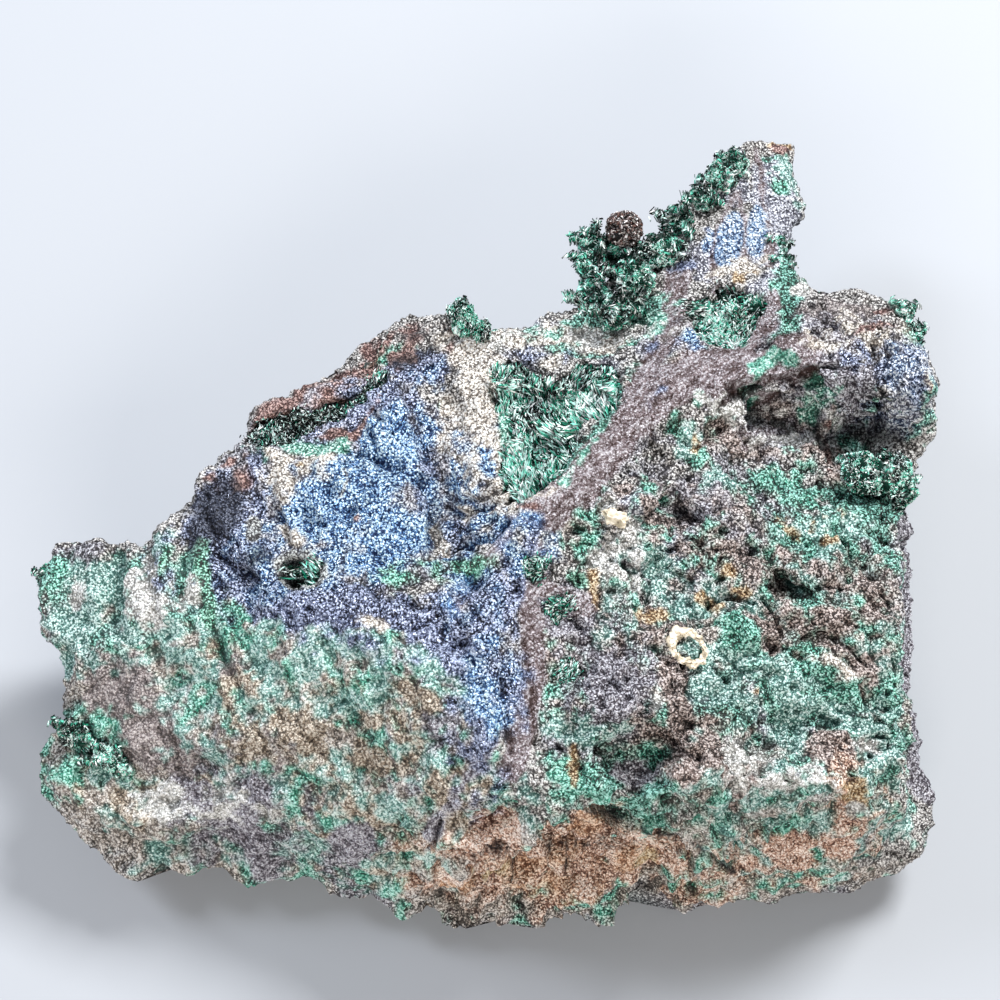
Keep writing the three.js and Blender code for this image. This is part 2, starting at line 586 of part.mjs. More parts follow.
function place(name, solid, colour) {
  const { vertProperties, triVerts } = whole(solid);
  const geometry = new THREE.BufferGeometry();
  geometry.setAttribute("position", new THREE.BufferAttribute(vertProperties, 3));
  geometry.setIndex(new THREE.BufferAttribute(triVerts, 1));
  const mesh = new THREE.Mesh(geometry, new THREE.MeshStandardMaterial(COLOURS[colour]));
  mesh.name = name;
  specimen.add(mesh);
}

const hollows = Object.values(POCKETS).flatMap(({ tools }) => tools.map((tool) => lump(tool)));
const seats = [lump(WHITE_GRAIN, GAP), paleRing(PALE_RING, GAP)];
place("bornite_matrix", stone().subtract(joined([...hollows, ...seats])), "bornite");

const random = dice(11);
for (const [name, pocket] of Object.entries(POCKETS)) {
  place(name, lining(pocket, random), "brochantite");
}
const clearOfRockAndBall = joined([stone(GAP), stone(), lump(BALL, GAP)]);
for (const [name, growth] of Object.entries(CLUSTERS)) {
  place(name, cluster(growth, clearOfRockAndBall, random), "brochantite");
}
place("goethite_ball", lump(BALL), "goethite");
place("calcite_grain", lump(WHITE_GRAIN), "calcite");
place("calcite_ring", paleRing(PALE_RING), "calcite");

// The origin under the middle of the whole, on the surface that it lies on.
const box = new THREE.Box3().setFromObject(specimen);
const middle = box.getCenter(new THREE.Vector3());
specimen.position.set(-middle.x, -middle.y, -box.min.z);

export default specimen;
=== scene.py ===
"""Brochantite on bornite, a broken hand specimen lying on its back with its crystals up.

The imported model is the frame. The rock is a finer copy of its CAD solid, roughened zone
by zone, and each crust, spray and seam of crystals grows on its own CAD solid. Places and
sizes are in millimetres, from the origin under the middle of the specimen, and MM turns
them to metres. +X runs along the face, +Y towards the peak and +Z out of the face.
"""

import math
from typing import NamedTuple

import bmesh
import bpy
import numpy as np
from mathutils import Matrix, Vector, noise
from mathutils.kdtree import KDTree


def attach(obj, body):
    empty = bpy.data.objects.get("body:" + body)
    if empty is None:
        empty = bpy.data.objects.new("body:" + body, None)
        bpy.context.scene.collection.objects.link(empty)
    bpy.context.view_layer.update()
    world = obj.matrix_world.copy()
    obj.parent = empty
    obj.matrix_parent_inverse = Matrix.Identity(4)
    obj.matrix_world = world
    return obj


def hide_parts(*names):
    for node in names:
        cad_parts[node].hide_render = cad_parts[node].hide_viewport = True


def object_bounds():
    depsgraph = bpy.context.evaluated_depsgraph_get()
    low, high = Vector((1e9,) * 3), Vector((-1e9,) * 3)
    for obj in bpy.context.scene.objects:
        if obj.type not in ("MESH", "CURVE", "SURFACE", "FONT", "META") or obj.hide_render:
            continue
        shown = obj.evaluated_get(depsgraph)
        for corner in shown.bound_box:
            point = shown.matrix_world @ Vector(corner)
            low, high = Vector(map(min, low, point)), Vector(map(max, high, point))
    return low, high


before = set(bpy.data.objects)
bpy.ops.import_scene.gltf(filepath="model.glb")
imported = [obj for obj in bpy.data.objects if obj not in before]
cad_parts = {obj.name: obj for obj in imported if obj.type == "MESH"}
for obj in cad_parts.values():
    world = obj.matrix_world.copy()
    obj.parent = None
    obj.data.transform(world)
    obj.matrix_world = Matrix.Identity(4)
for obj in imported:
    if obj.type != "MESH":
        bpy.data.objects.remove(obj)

CAD_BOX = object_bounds()
noise.seed_set(11)  # without a seed, noise vectors would follow the clock
MM = 0.001


# ---------------------------------------------------------------- patches of stone
def spot(x, y, half_x, half_y=None, turn=0, z=None):
    """A round or oval patch, as a function from points to millimetres inside its edge.
    With a height it is a ball, which doesn't show through to the other side."""
    half_y = half_y or half_x
    cos, sin = math.cos(math.radians(turn)), math.sin(math.radians(turn))

    def inside(points):
        dx, dy = points[:, 0] - x, points[:, 1] - y
        u = (dx * cos + dy * sin) / half_x
        v = (dy * cos - dx * sin) / half_y
        w = 0 if z is None else (points[:, 2] - z) / half_x
        return (1 - np.sqrt(u * u + v * v + w * w)) * min(half_x, half_y)

    return inside


def spots(*rows):
    """Several round or oval patches, a row of numbers for each."""
    return [spot(*row) for row in rows]


def band(half, *path):
    """A patch within half a width of a path of straight legs; places may have a height."""
    path = np.array(path, float)

    def inside(points):
        places = points[:, : path.shape[1]]
        nearest = np.full(len(points), np.inf)
        for start, end in zip(path, path[1:]):
            leg = end - start
            along = np.clip((places - start) @ leg / (leg @ leg), 0, 1)
            away = places - start - along[:, None] * leg
            nearest = np.minimum(nearest, np.sqrt((away * away).sum(1)))
        return half - nearest

    return inside


def depth_inside(points, patches):
    """Millimetres inside the nearest of several patches, negative outside them all."""
    return np.max([patch(points) for patch in patches] or [np.full(len(points), -99.0)], axis=0)


def ramp(values, low, high):
    """0 at low, 1 at high and smooth between."""
    t = np.clip((values - low) / (high - low), 0, 1)
    return t * t * (3 - 2 * t)


# ---------------------------------------------------------------- noise
def lumps(points, size, octaves=3, seed=0):
    """Fractal noise, about -1 to 1. Its largest lumps are size millimetres wide."""
    shift = Vector((17.3 * seed, 9.1 * seed, 5.7 * seed))
    return np.array([
        noise.fractal(Vector(p) / size + shift, 1.0, 2.0, octaves, noise_basis="PERLIN_ORIGINAL")
        for p in points.tolist()
    ])


def drawn_out(points, angle, width, stretch=4.0, octaves=2, seed=0):
    """Noise drawn out along a direction in the face, like wood grain, whose lines are
    width millimetres apart."""
    cos, sin = math.cos(math.radians(angle)), math.sin(math.radians(angle))
    along = points[:, 0] * cos + points[:, 1] * sin
    across = points[:, 1] * cos - points[:, 0] * sin
    return lumps(np.stack([along / stretch, across, points[:, 2]], axis=1), width, octaves, seed)


def pebbles(points, size, seed=0):
    """Rounded grains packed side by side: 1 on top of a grain, 0 between grains."""
    shift = Vector((3.1 * seed, 7.7 * seed, 1.9 * seed))
    near = [noise.voronoi(Vector(p) / size + shift)[0] for p in points.tolist()]
    nearest, second = np.array([(d[0], d[1]) for d in near]).T
    return ramp(second - nearest, 0, 0.55)


def plates(points, size, seed=0):
    """Flat pieces that broke off at different heights and tilts, about -1 to 1."""
    shift = Vector((2.3 * seed, 5.9 * seed, 8.3 * seed))
    heights = []
    for place in points.tolist():
        place = Vector(place) / size + shift
        middle = noise.voronoi(place)[1][0]
        own = noise.noise_vector(middle * 5.3)
        heights.append(1.3 * own.z + 2.2 * (place - middle).dot(own))
    return np.clip(heights, -1, 1)


# ---------------------------------------------------------------- materials
def linear(code, alpha=1.0):
    """An sRGB hex colour as the linear values that shaders take."""
    parts = [int(code[i:i + 2], 16) / 255 for i in (1, 3, 5)]
    return [c / 12.92 if c <= 0.04045 else ((c + 0.055) / 1.055) ** 2.4 for c in parts] + [alpha]


def feed(tree, target, links):
    """Fills a node's inputs, by name or number, with values, with outputs, or with nodes,
    which stand for their first output in use."""
    for name, source in links.items():
        if isinstance(source, bpy.types.Node):
            source = next(output for output in source.outputs if output.enabled)
        if isinstance(source, bpy.types.NodeSocket):
            tree.links.new(source, target.inputs[name])
        else:
            target.inputs[name].default_value = source


def node(tree, kind, links, **settings):
    """Adds a shader node with its settings and what feeds it."""
    made = tree.nodes.new("ShaderNode" + kind)
    for name, value in settings.items():
        setattr(made, name, value)
    feed(tree, made, links)
    return made


def weighted_sum(tree, *terms):
    """The sum of several (value, weight) terms."""
    total = 0.0
    for value, weight in terms:
        total = node(tree, "Math", {0: value, 1: weight, 2: total}, operation="MULTIPLY_ADD")
    return total


def new_material(name):
    """An empty material with a Principled shader."""
    material = bpy.data.materials.new(name)
    material.use_nodes = True
    tree = material.node_tree
    return material, tree, tree.nodes["Principled BSDF"]


class Mineral(NamedTuple):
    """A layer of colour on the stone."""
    shades: tuple  # of its dark, middle and light grains
    dullness: float  # roughness of its smoothest grains
    soft: float  # millimetres over which a patch thins out
    ragged: float  # how far the edge of a patch wanders
    broken: float  # how much single grains and flecks break it up
    solid: list  # patches that it covers all over
    mottled: list = []  # patches that it covers in part
    metal: float = 0.0
    unseen: float = 0.0  # how much of the sides and the underside it covers


# From the oldest layer to the youngest.
MINERALS = {
    # Tan clay and quartz between the ore grains, pale and dull.
    "tan_gangue": Mineral(
        shades=("#46413d", "#978d84", "#e6e0da"), dullness=0.5, soft=4.0, ragged=3.0, broken=0.5,
        unseen=0.42,
        solid=spots(
            (-32, -31, 20, 16), (-12, -38, 16, 10), (-18, -27, 14, 8), (-44, -20, 12, 9),
            (4, -48, 16, 5), (30, -45, 16, 6), (36, -38, 12, 6),
        ),
        mottled=spots((32, -30, 14, 10), (14, -10, 5, 4), (46, -20, 4, 14)),
    ),
    # Dull purple-grey ore, bornite with grey chalcocite.
    "plum_ore": Mineral(
        shades=("#222026", "#77747d", "#d2d3da"), dullness=0.3, metal=0.2, soft=1.4, ragged=2.2,
        broken=0.55, unseen=0.5,
        solid=spots(
            (-16, -42.6, 4, 3), (-13.5, -45, 3, 3), (12.5, -27, 4.5, 7.5, -8), (10.4, -21, 3, 4),
            (42, 11, 9, 6), (33, 4.6, 8, 4, -10), (-48, -9, 3.4, 1.4), (-43, -21.5, 4, 1.4, -10),
            (25.6, -7.6, 4, 2.4, -30), (21, 15, 4, 3), (-15, -4, 17, 15), (-2, -28, 6, 12),
        ) + [
            band(2.4, (-35, -36.6), (-30.6, -38.4), (-26.8, -41), (-25.6, -45)),
            band(2.0, (53, -4, 17), (53.5, -16, 16), (53.5, -27, 15), (52, -36, 14)),
        ],
        mottled=spots(
            (-30, -34, 8, 6), (24, -8, 12, 9), (-36, -30, 4, 6), (14, -33, 6, 4), (46, -10, 5, 9),
            (-6, -31, 5, 8), (-44, -16, 8, 4),
        ),
    ),
    # Silver-grey ore grains of the peak and the ledge.
    "silver_ore": Mineral(
        shades=("#3a3b46", "#8f90a0", "#eceff6"), dullness=0.25, metal=0.2, soft=1.2, ragged=1.0,
        broken=0.4,
        solid=spots(
            (37.2, 37, 3.2, 10), (35.6, 28.6, 3, 4), (34.4, 22, 2.6, 1.8, 60),
            (50.4, 10.4, 3.4, 4.8), (34, 38.2, 1.4, 1.2), (31, 42, 3, 6), (29.4, 27.6, 4, 3),
        ),
        mottled=spots(
            (42, 15, 9, 4), (30, 28, 5, 4), (34, -33, 12, 6), (18, 14, 5, 4), (20, -12, 7, 5),
            (10, 17, 8, 2.4),
        ),
    ),
    # Smooth taupe clay skin.
    "taupe_skin": Mineral(
        shades=("#474140", "#7d7272", "#c4bcba"), dullness=0.5, soft=1.2, ragged=1.4, broken=0.4,
        solid=spots(
            (-42, -25.5, 4.6, 5.4, 30), (-38.5, -30, 4.2, 5, 30), (-35, -33.5, 3, 2.4),
            (42, 18, 6, 2), (-28.6, -26, 2.6, 3.4),
        ),
        mottled=spots((-26, -31, 5, 6), (-14, -38, 6, 4), (-20, 10, 7, 3, 25)),
    ),
    # Malachite stain, grainy emerald green.
    "malachite": Mineral(
        shades=("#04261d", "#36967d", "#b8f0e2"), dullness=0.3, soft=1.4, ragged=1.8, broken=0.65,
        unseen=0.32,
        solid=spots(
            (32, -26, 3.4, 1.8), (34, -1.8, 2.6, 1.2), (38.6, -3.6, 2.2, 1.6), (15.4, -41, 6, 0.9),
            (10.5, -39.4, 2.4, 1.6), (28.6, -3.6, 2.6, 1, -40), (22.6, 3.4, 1.2),
            (14.2, -2.8, 2.4, 0.7, 15), (37, 10.8, 1.8, 1.2), (34.4, 11.8, 1.8, 0.9),
            (25.6, 6.8, 1.0, 0.7), (-1.8, -14.6, 2.6, 1.1), (-10, -15.6, 1.4, 0.8),
            (-5.6, -29.8, 1.3), (-20, 2.9, 3.6, 0.8, -3), (32.6, 9.8, 1.4, 1.6, -40),
            (36.2, 11, 1.0, 1.2), (46.6, 7.4, 0.8, 1.2), (39.9, 9.2, 0.7, 1.0),
            (38, -24, 5, 0.8, -20), (-32.9, -15.4, 1.3), (-33.2, -18, 1.2), (-27.4, -18.2, 2, 1),
            (-23.2, -18.8, 1.6, 0.9), (-10.6, -25.4, 1.2, 2), (51.4, 20.6, 2.4, 2),
            (2.8, 17, 1.8, 0.9), (-22, -44.4, 1.4, 1.4, 0, 11), (2.4, -40, 2.4, 1),
            (-8.6, 15.4, 1.7, 0.6, 10), (28, 3, 0.8, 2, -30), (53.2, 8, 1.6), (52.4, 17, 1.2, 2),
            (-51.6, -10.5, 1.6), (43, -5, 3, 4), (38, -12, 4, 3), (30, -23, 4, 4), (36, -27, 5, 5),
        ) + [
            band(1.9, (34, -24.6), (38.2, -27.2), (42, -29)),
            band(1.8, (43, -19), (45, -24), (46, -31)),
            band(1.5, (37, -2), (39, -6), (42, -9.6), (43.6, -12)),
            band(1.0, (24, 2.6), (25.4, -0.8)), band(1.2, (37.8, 24), (36.8, 20), (36.4, 15)),
            band(1.0, (8.8, -23.8), (9.4, -28), (8.4, -31.4)),
            band(1.1, (-34.4, -9.6), (-35.2, -14.6), (-36.6, -20.6)),
            band(0.9, (-42.2, -12), (-43, -16), (-44.8, -18.6)),
            band(1.4, (-49.4, -28.6), (-46.4, -30.8), (-43, -33.4), (-40, -35)),
            spot(10.8, -47.3, 1.6, z=8), spot(34.2, -46, 2.2, z=8), spot(24, -46.5, 2.4, z=8),
            spot(13, -47, 1.8, z=8), spot(-2, -46.2, 1.6, z=9), spot(4.4, -44.6, 1.2, z=12),
        ],
        mottled=spots(
            (37, -22, 15, 17), (26, -17, 11, 10), (19, -13, 9, 8), (22, -26, 11, 8),
            (34, -38, 15, 8), (9, -27, 3, 7), (43, -4, 7, 9), (31, -1, 6, 6), (17, -39, 9, 4),
            (-40, -15, 13, 6), (-20, -24, 16, 7), (-24, -40, 12, 4), (-5, -36, 8, 6),
            (-48, -32, 6, 5), (37.8, 43, 1.0, 2), (-20, 2.8, 3.4, 0.9), (38, 12, 5, 2),
            (-15, -44, 10, 4), (8, 17, 8, 2), (20, -46, 14, 5), (22, 10, 5, 3),
        ),
    ),
    # Emerald crust, fine dark brochantite round the pockets and in the pits.
    "emerald_crust": Mineral(
        shades=("#03120e", "#246a58", "#a2dcd0"), dullness=0.25, soft=0.7, ragged=0.9, broken=0.5,
        solid=spots(
            (47.6, -4.2, 4.4, 3.6), (44.6, -1, 2, 3.4), (2.9, 5.4, 0.8, 2.2), (29.6, -14, 1.0, 1.6),
            (52.3, 18.6, 2, 2.4), (-41.8, -15, 1.0, 3.6, 20), (-36.6, -14.6, 1.0, 4, 15),
            (13, 14.4, 3, 0.8), (-53, -10.8, 2, 2), (-47, -30, 4, 1.8, -35), (37.4, 22.4, 1.2, 4),
            (38, 27, 1.6, 3), (6, 16.6, 2, 0.8), (24.4, -12.6, 0.8, 1.4),
            (27, -27.2, 2.0, 0.9, -25), (37.4, -31.4, 1.2, 0.6), (-1.4, 18.6, 3, 2),
            (13.2, 19.4, 2.6, 2.2), (20.6, 20.8, 1.8, 1.8), (9.8, 18.2, 1.4, 0.8),
        ) + [
            band(0.8, (21.4, -37.2), (20.4, -39.6), (17, -40.6)),
            band(1.0, (9.6, -4.8), (12.4, -0.4), (15.6, 4.6)),
            band(0.5, (32, -26.6), (34, -25.6), (36.2, -25.8), (37.2, -27.6), (36.4, -29.4)),
            band(0.6, (42.6, -13), (43.2, -16.8)), band(0.5, (-26.8, 4), (-26.3, 2.6), (-25.8, 1)),
        ],
        mottled=spots(
            (41, -8, 7, 5), (40, -20, 6, 9), (30, -31, 5, 3), (-40, -15, 9, 5), (16, -40, 8, 3),
        ),
    ),
    # Mint crust, malachite bleached and mixed with white clay.
    "mint_crust": Mineral(
        shades=("#2f5c55", "#7faea6", "#e0f8f4"), dullness=0.4, soft=2.0, ragged=1.8, broken=0.6,
        unseen=0.2,
        solid=spots(
            (-35, -22.4, 2.4, 1.4), (-31.8, -24.2, 1.6, 1.2), (-14.4, -23.4, 4, 1.6, -15),
            (-22, -21.6, 4, 1.4, -10), (-19.6, -24.6, 2.4, 2), (-11.6, -44.6, 1.7, 1.7, 0, 13),
            (-19, -40.4, 1.8, 1.2), (-7.8, -35.3, 1.4), (26, -29.4, 4, 1.6), (36, -30, 4, 1.4),
            (38.4, 43, 0.6, 1.6), (-20.4, 2.6, 3, 0.6), (28.6, -3, 1.6, 1), (43.6, -36, 2.4, 2),
            (24.6, 1.4, 0.8, 1.6, -20), (5, -40.4, 2.4, 1.4), (12, -34, 3, 1.2), (23, -36, 2, 3),
            (30, -39, 5, 2), (33, -36.6, 4, 1.4),
        ) + [
            band(2.2, (-47, -12), (-47.6, -17.4), (-49.4, -20.4)),
            band(2.0, (-39, -12), (-39.2, -17), (-41, -20)),
            band(0.8, (-43.6, -34.2), (-40, -36.2), (-36, -37)), spot(-23.7, -43.4, 1.8, z=9),
            band(0.5, (39, 42.4), (40.2, 39.8)), band(0.4, (40, -38), (41, -36.2), (42.4, -34.6)),
            band(0.8, (-4.4, -24.6), (-0.6, -26.6), (0.4, -31)),
        ],
        mottled=spots(
            (28, -28, 9, 5), (36, -37, 14, 8), (-22, -27, 15, 9), (-40, -16, 12, 7),
            (-8, -27, 7, 5), (45, -28, 4, 9), (-10, -41, 12, 5), (-34, -41, 9, 4), (18, -18, 6, 6),
            (-28, -36, 6, 3), (40, -12, 6, 5), (26, -22, 9, 6), (0, -43, 8, 3),
        ),
    ),
    # Liver-brown iron oxide, in pits and where grains fell out.
    "brown_oxide": Mineral(
        shades=("#1f1614", "#7d6a63", "#d6cac6"), dullness=0.45, soft=0.8, ragged=0.8, broken=0.5,
        unseen=0.3,
        solid=spots(
            (19.6, -8, 2.2, 1.3, -15), (23.2, -12.2, 1.5, 0.7, -20), (30.2, -13, 2, 1.2, -35),
            (34.5, -12.8, 1.2, 0.8, -45), (39.4, -20.4, 3.6, 1.4, -8), (44.1, -19.2, 1.6, 0.8, -20),
            (22.2, -39, 1.7, 1.5), (27.4, -6.6, 1.8, 1.6), (30.6, 2.6, 3, 2), (16.4, -6, 1.8, 1),
            (48.8, 18.2, 1.0, 0.8), (39.2, -34.8, 2.8, 2.6),
        ) + [
            band(0.8, (30.2, -20.6), (31.9, -21.4), (33, -23.6)),
            band(0.6, (38.2, -22.9), (40.5, -23.8), (43.4, -25.6)),
            band(1.7, (21.4, -26.6), (20.9, -30), (21.6, -33.6)),
            band(1.1, (25.5, -34.6), (26.4, -37), (28.2, -39.8)),
            band(0.5, (43.6, -24.4), (44.6, -27)),
        ],
        mottled=spots(
            (22, -8, 8, 4), (38, -17, 8, 5), (26, -36, 5, 4), (19, -27, 4, 7), (33, 5, 8, 5),
            (45, -22, 3, 8), (28, -14, 6, 5), (10, -24, 4, 8), (40, 2, 4, 4), (28, 9, 10, 2.6),
        ),
    ),
    # Rust-brown limonite earth.
    "rust_earth": Mineral(
        shades=("#54352a", "#c8a08a", "#ffeee2"), dullness=0.6, soft=1.6, ragged=1.8, broken=0.5,
        unseen=0.25,
        solid=[
            band(2.4, (-2, -43.6, 19), (4.4, -43.4, 21), (11, -42.6, 22), (17, -43, 17)),
            spot(3, -45.4, 5.4, z=14), spot(11, -44.8, 5.4, z=15), spot(18.6, -44.6, 5, z=13),
            spot(-2.6, -45, 3.6, z=12), spot(35.4, -43.2, 3.6, z=14), spot(41, -42.4, 3, z=14),
        ],
        mottled=spots(
            (42, -38, 3, 3),
        ) + [
            spot(0, -46, 10, z=12), spot(26, -46, 9, z=10), spot(41, -44, 6, z=12),
        ],
    ),
    # Olive-brown clay of the lower left.
    "olive_clay": Mineral(
        shades=("#3d342c", "#8e7e6c", "#e0d6c8"), dullness=0.6, soft=1.4, ragged=1.8, broken=0.6,
        solid=spots(
            (-19.6, -31.8, 3.0, 2.2, -30), (-22.4, -30.4, 1.2, 2.2), (-31, -21, 0.7, 1.2),
        ),
        mottled=spots(
            (-6, -38, 6, 5), (-40, -37.4, 5, 1.6), (-14, -36, 7, 5), (-28, -29, 3, 4),
            (-12, -42, 5, 3), (-18, -32, 6, 4), (-8, -32, 4, 4),
        ),
    ),
    # Orange clay lumps of the near wall.
    "orange_clay": Mineral(
        shades=("#6a4530", "#c09474", "#f8dcc4"), dullness=0.6, soft=0.8, ragged=0.9, broken=0.25,
        solid=spots(
            (41.4, -38.8, 1.4, 1.0),
        ) + [
            spot(1, -45, 2.3, z=14), spot(18, -44.6, 2.8, z=13), spot(11, -42.8, 2.6, z=21),
            spot(-3, -46.2, 2.6, z=10),
        ],
        mottled=[spot(8, -45, 6, z=12)],
    ),
    # Orange ochre dust.
    "ochre": Mineral(
        shades=("#54391f", "#a98a60", "#ead9bc"), dullness=0.6, soft=0.8, ragged=0.9, broken=0.8,
        unseen=0.1,
        solid=spots(
            (37.9, -7.8, 1.2, 0.4), (40, -10.6, 1.3, 0.4, -20), (36.2, -9.4, 0.5), (28.3, -15, 0.5),
            (19.8, -20.7, 0.9, 0.4), (10.2, -39.4, 0.6, 1.0), (41.4, -38.4, 1.1, 0.7),
            (41.6, -38.9, 1.2, 1.0), (31.2, 23.9, 0.7, 0.5), (33, 25.2, 0.6, 0.4),
            (28.3, -14.9, 0.7), (29.3, -17.4, 0.8, 0.4), (26.4, -18.9, 0.5), (24.8, -18.3, 0.5),
            (10.3, -37.6, 0.6, 1.0), (30.5, -28.8, 0.5), (-20.2, -0.2, 1.2, 0.4),
            (-21.4, 0.2, 2, 0.6), (31.4, 25.2, 1.6, 0.7), (24.8, 0.6, 0.5, 1.0),
            (38.6, 47.8, 1.4, 0.9), (4, -4.6, 0.6, 0.5), (-1, 7, 0.6, 1.6), (53, 9.4, 0.7),
        ) + [
            band(0.3, (12.6, -15.4), (12.8, -19)), spot(1, -45, 2.0, z=13),
            spot(19.1, -44.8, 1.7, z=13),
        ],
        mottled=spots((38, -8.6, 2.4, 1.2)),
    ),
    # Plum-grey faces where the ore split cleanly.
    "plum_faces": Mineral(
        shades=("#332e36", "#85808a", "#d4d4dc"), dullness=0.35, metal=0.2, soft=0.8, ragged=1.0,
        broken=0.3,
        solid=spots(
            (14.4, -29.8, 3.2, 4.2, -8), (17.2, -37.4, 2.6, 1.2), (-14.6, -43, 2.6, 2, 0),
            (42, 10.4, 5, 4.4), (34, 4.4, 4, 2, -10), (11.4, -20.8, 1.5, 2.9, -5), (9, -20.6, 2, 3),
            (-26, -37.6, 2.4, 2),
        ) + [
            band(6.4, (55.6, -7, 15), (55.3, -16, 13), (55, -24, 11), (55, -31, 10)),
            band(1.8, (-35, -36.8), (-30.6, -38.6), (-26.8, -41), (-25.4, -44)),
            band(1.2, (-22, 9.8), (-19, 10.8), (-16, 12)),
            band(0.8, (0.6, -35.4), (-1.6, -39), (-4.4, -41.2), (-5.6, -43.4)),
        ],
        mottled=spots((40, 12, 9, 6), (14, -26, 5, 8), (-28, -40, 8, 4), (26, -7, 6, 3, -30)),
    ),
    # Fresh bornite, the purple-brown vein, smooth and fine.
    "bornite_vein": Mineral(
        shades=("#3e2c2a", "#807377", "#d0ccd2"), dullness=0.3, metal=0.3, soft=0.6, ragged=0.7,
        broken=0.35,
        solid=spots(
            (34.6, 18.6, 1.2, 2.4, -20),
        ) + [
            band(
                2.3, (38, 12), (33, 10.6), (28, 9.4), (23, 7.4), (18.4, 4), (14.8, -0.6),
                (10.6, -6.2), (7, -9.4),
            ),
            band(1.0, (7, -9.4), (3.7, -10.1), (1.4, -13.2), (-1.1, -16.2), (-3, -20)),
            band(1.4, (6.4, -14), (5.6, -20), (6, -27), (4.6, -34), (3.4, -38)),
            band(1.2, (8, -18.6), (11.6, -19.6)),
            band(1.4, (34.4, 17), (31, 13), (25, 11), (19, 8.6)),
            band(1.5, (24.3, 26), (23, 18.2), (20.4, 12), (18, 6)),
            band(0.5, (35.3, 46.7), (35.8, 42.6), (35.5, 38.7), (35.7, 33), (35.3, 26)),
            band(0.5, (31.2, 36.7), (32.3, 39.2), (32.9, 34), (32.8, 31), (32.2, 27.6)),
            band(0.5, (31.2, 36.7), (29.9, 33.4), (29.2, 30.4), (28.6, 27.6), (28.6, 25.2)),
            band(0.8, (29, 22.4), (33.6, 19.2)),
        ],
        mottled=spots((28, 6, 8, 3), (24, 17, 3, 5)),
    ),
    # Indigo tarnish on bornite.
    "indigo_tarnish": Mineral(
        shades=("#080a1c", "#626c8c", "#d2dcf6"), dullness=0.2, metal=0.5, soft=1.4, ragged=1.6,
        broken=0.4,
        solid=spots(
            (-31, -5, 4, 5), (-5, -22, 5, 3, -30), (-0.6, -26, 3, 3.4), (2.6, -30, 1.8, 3.4, -20),
            (0.2, -34.2, 1.5, 2.8, 20), (-13, 9.4, 3, 3.4), (-7, 13, 4, 2.4),
            (24.3, 14.6, 1.8, 1.5), (20.6, 14.6, 1.2, 0.8), (20.5, 6.2, 1.7, 0.7, 40),
            (17.4, 2.4, 1.0, 0.6, 40), (28, 29.8, 0.6, 1.6), (25, 27, 1.4, 1.0),
            (17.6, 14.7, 0.8, 1.1), (20.4, 15, 1.2, 0.6, 10), (48.2, 9.4, 1.0, 2.2),
            (51.6, 12.6, 1.4, 1.0), (51.8, 8.4, 1.0, 1.4),
        ) + [
            band(3.0, (-33, -7), (-29.5, -12), (-24, -16.4), (-17, -18.6), (-10, -19.8)),
            band(2.4, (0.4, -17), (0.6, -22)), band(1.1, (6, -11.4), (4.4, -16), (3.4, -21)),
            # the band along the main fold of the slope is tarnish and painted shade in the fold
            band(
                0.9, (-10.3, 5.2), (-7.9, 2.3), (-6.7, -0.8), (-6.4, -4.6), (-6.7, -8.8),
                (-9.3, -13.2),
            ),
            band(1.1, (-27.2, 1), (-26.9, -2.6), (-25.9, -5)),
        ],
        mottled=spots(
            (-8, -22, 7, 4), (0, -12, 5, 5), (-14, 6, 8, 6), (46, 11, 3, 3), (3, 14.5, 6, 1.6),
            (-27, -14, 6, 4), (-14, -21, 8, 2), (-36, -12, 3, 4), (0.4, -31, 5, 9),
        ),
    ),
    # Steel-blue and sky-blue tarnish, the brightest part of the slope.
    "blue_tarnish": Mineral(
        shades=("#0a224a", "#6797cc", "#e0f6ff"), dullness=0.18, metal=0.5, soft=2.0, ragged=1.6,
        broken=0.3,
        solid=spots(
            (-17.5, -5.5, 6.6, 5, 15), (-11.5, 1.5, 4, 6), (-10, -10, 4, 3.4), (-18, -1, 4, 2.4),
            (-2.6, -3, 1.6, 4), (1.5, -7.6, 3.4, 1.2, 22), (-0.6, -11.4, 3.2, 1.1, 20),
            (25, 15, 1.4, 1.6), (-13, -13.4, 5, 2), (0.6, 0.4, 2.2, 3.6),
        ),
        mottled=spots(
            (-14, -6, 11, 10), (-6, 3, 3, 7), (-27, -13, 5, 4), (-1, -19, 3, 4), (-4, 12, 3, 2),
            (5.4, -13.6, 2.4, 4), (1, -28, 2.4, 5), (0, -1, 3, 5),
        ),
    ),
    # Blue panels of the peak, crisp between their brown seams.
    "blue_panels": Mineral(
        shades=("#14294e", "#86a8ce", "#f2faff"), dullness=0.2, metal=0.3, soft=0.35, ragged=0.35,
        broken=0.2,
        solid=spots(
            (30.8, 30.9, 5.2, 1.7, 78), (34.2, 32.4, 4.9, 1.3, 82), (28, 30, 1.8, 0.5, 70),
        ),
        mottled=spots((51, 10.6, 3.4, 4)),
    ),
    # Dark emerald in the small pits of the slope and the vein.
    "pit_lining": Mineral(
        shades=("#03140d", "#2f7c60", "#baf0de"), dullness=0.25, soft=0.6, ragged=0.7, broken=0.4,
        solid=spots(
            (-1.4, -14.4, 2.2, 1.2, -8), (10.8, -16.8, 1.4, 0.8), (-4.9, 8.2, 0.5, 0.8),
        ) + [
            band(0.9, (-33.2, -9.4), (-32.4, -14), (-31.5, -18.6)),
            band(0.6, (-41.4, -11.6), (-41.2, -15), (-40.8, -18)),
            band(0.5, (-37, -10), (-37.4, -13)),
        ],
        mottled=spots((-9, -14.6, 1.6, 1.0), (-2, -15, 3, 1.6)),
    ),
    # Grey-green clay, round the left vug and in thin seams.
    "clay_rims": Mineral(
        shades=("#2b2a2c", "#858688", "#d6dbda"), dullness=0.5, soft=0.3, ragged=0.3, broken=0.25,
        solid=spots(
            (-21, -13.3, 3.7, 2.3, -25), (-26.7, -7.8, 0.9, 1.8),
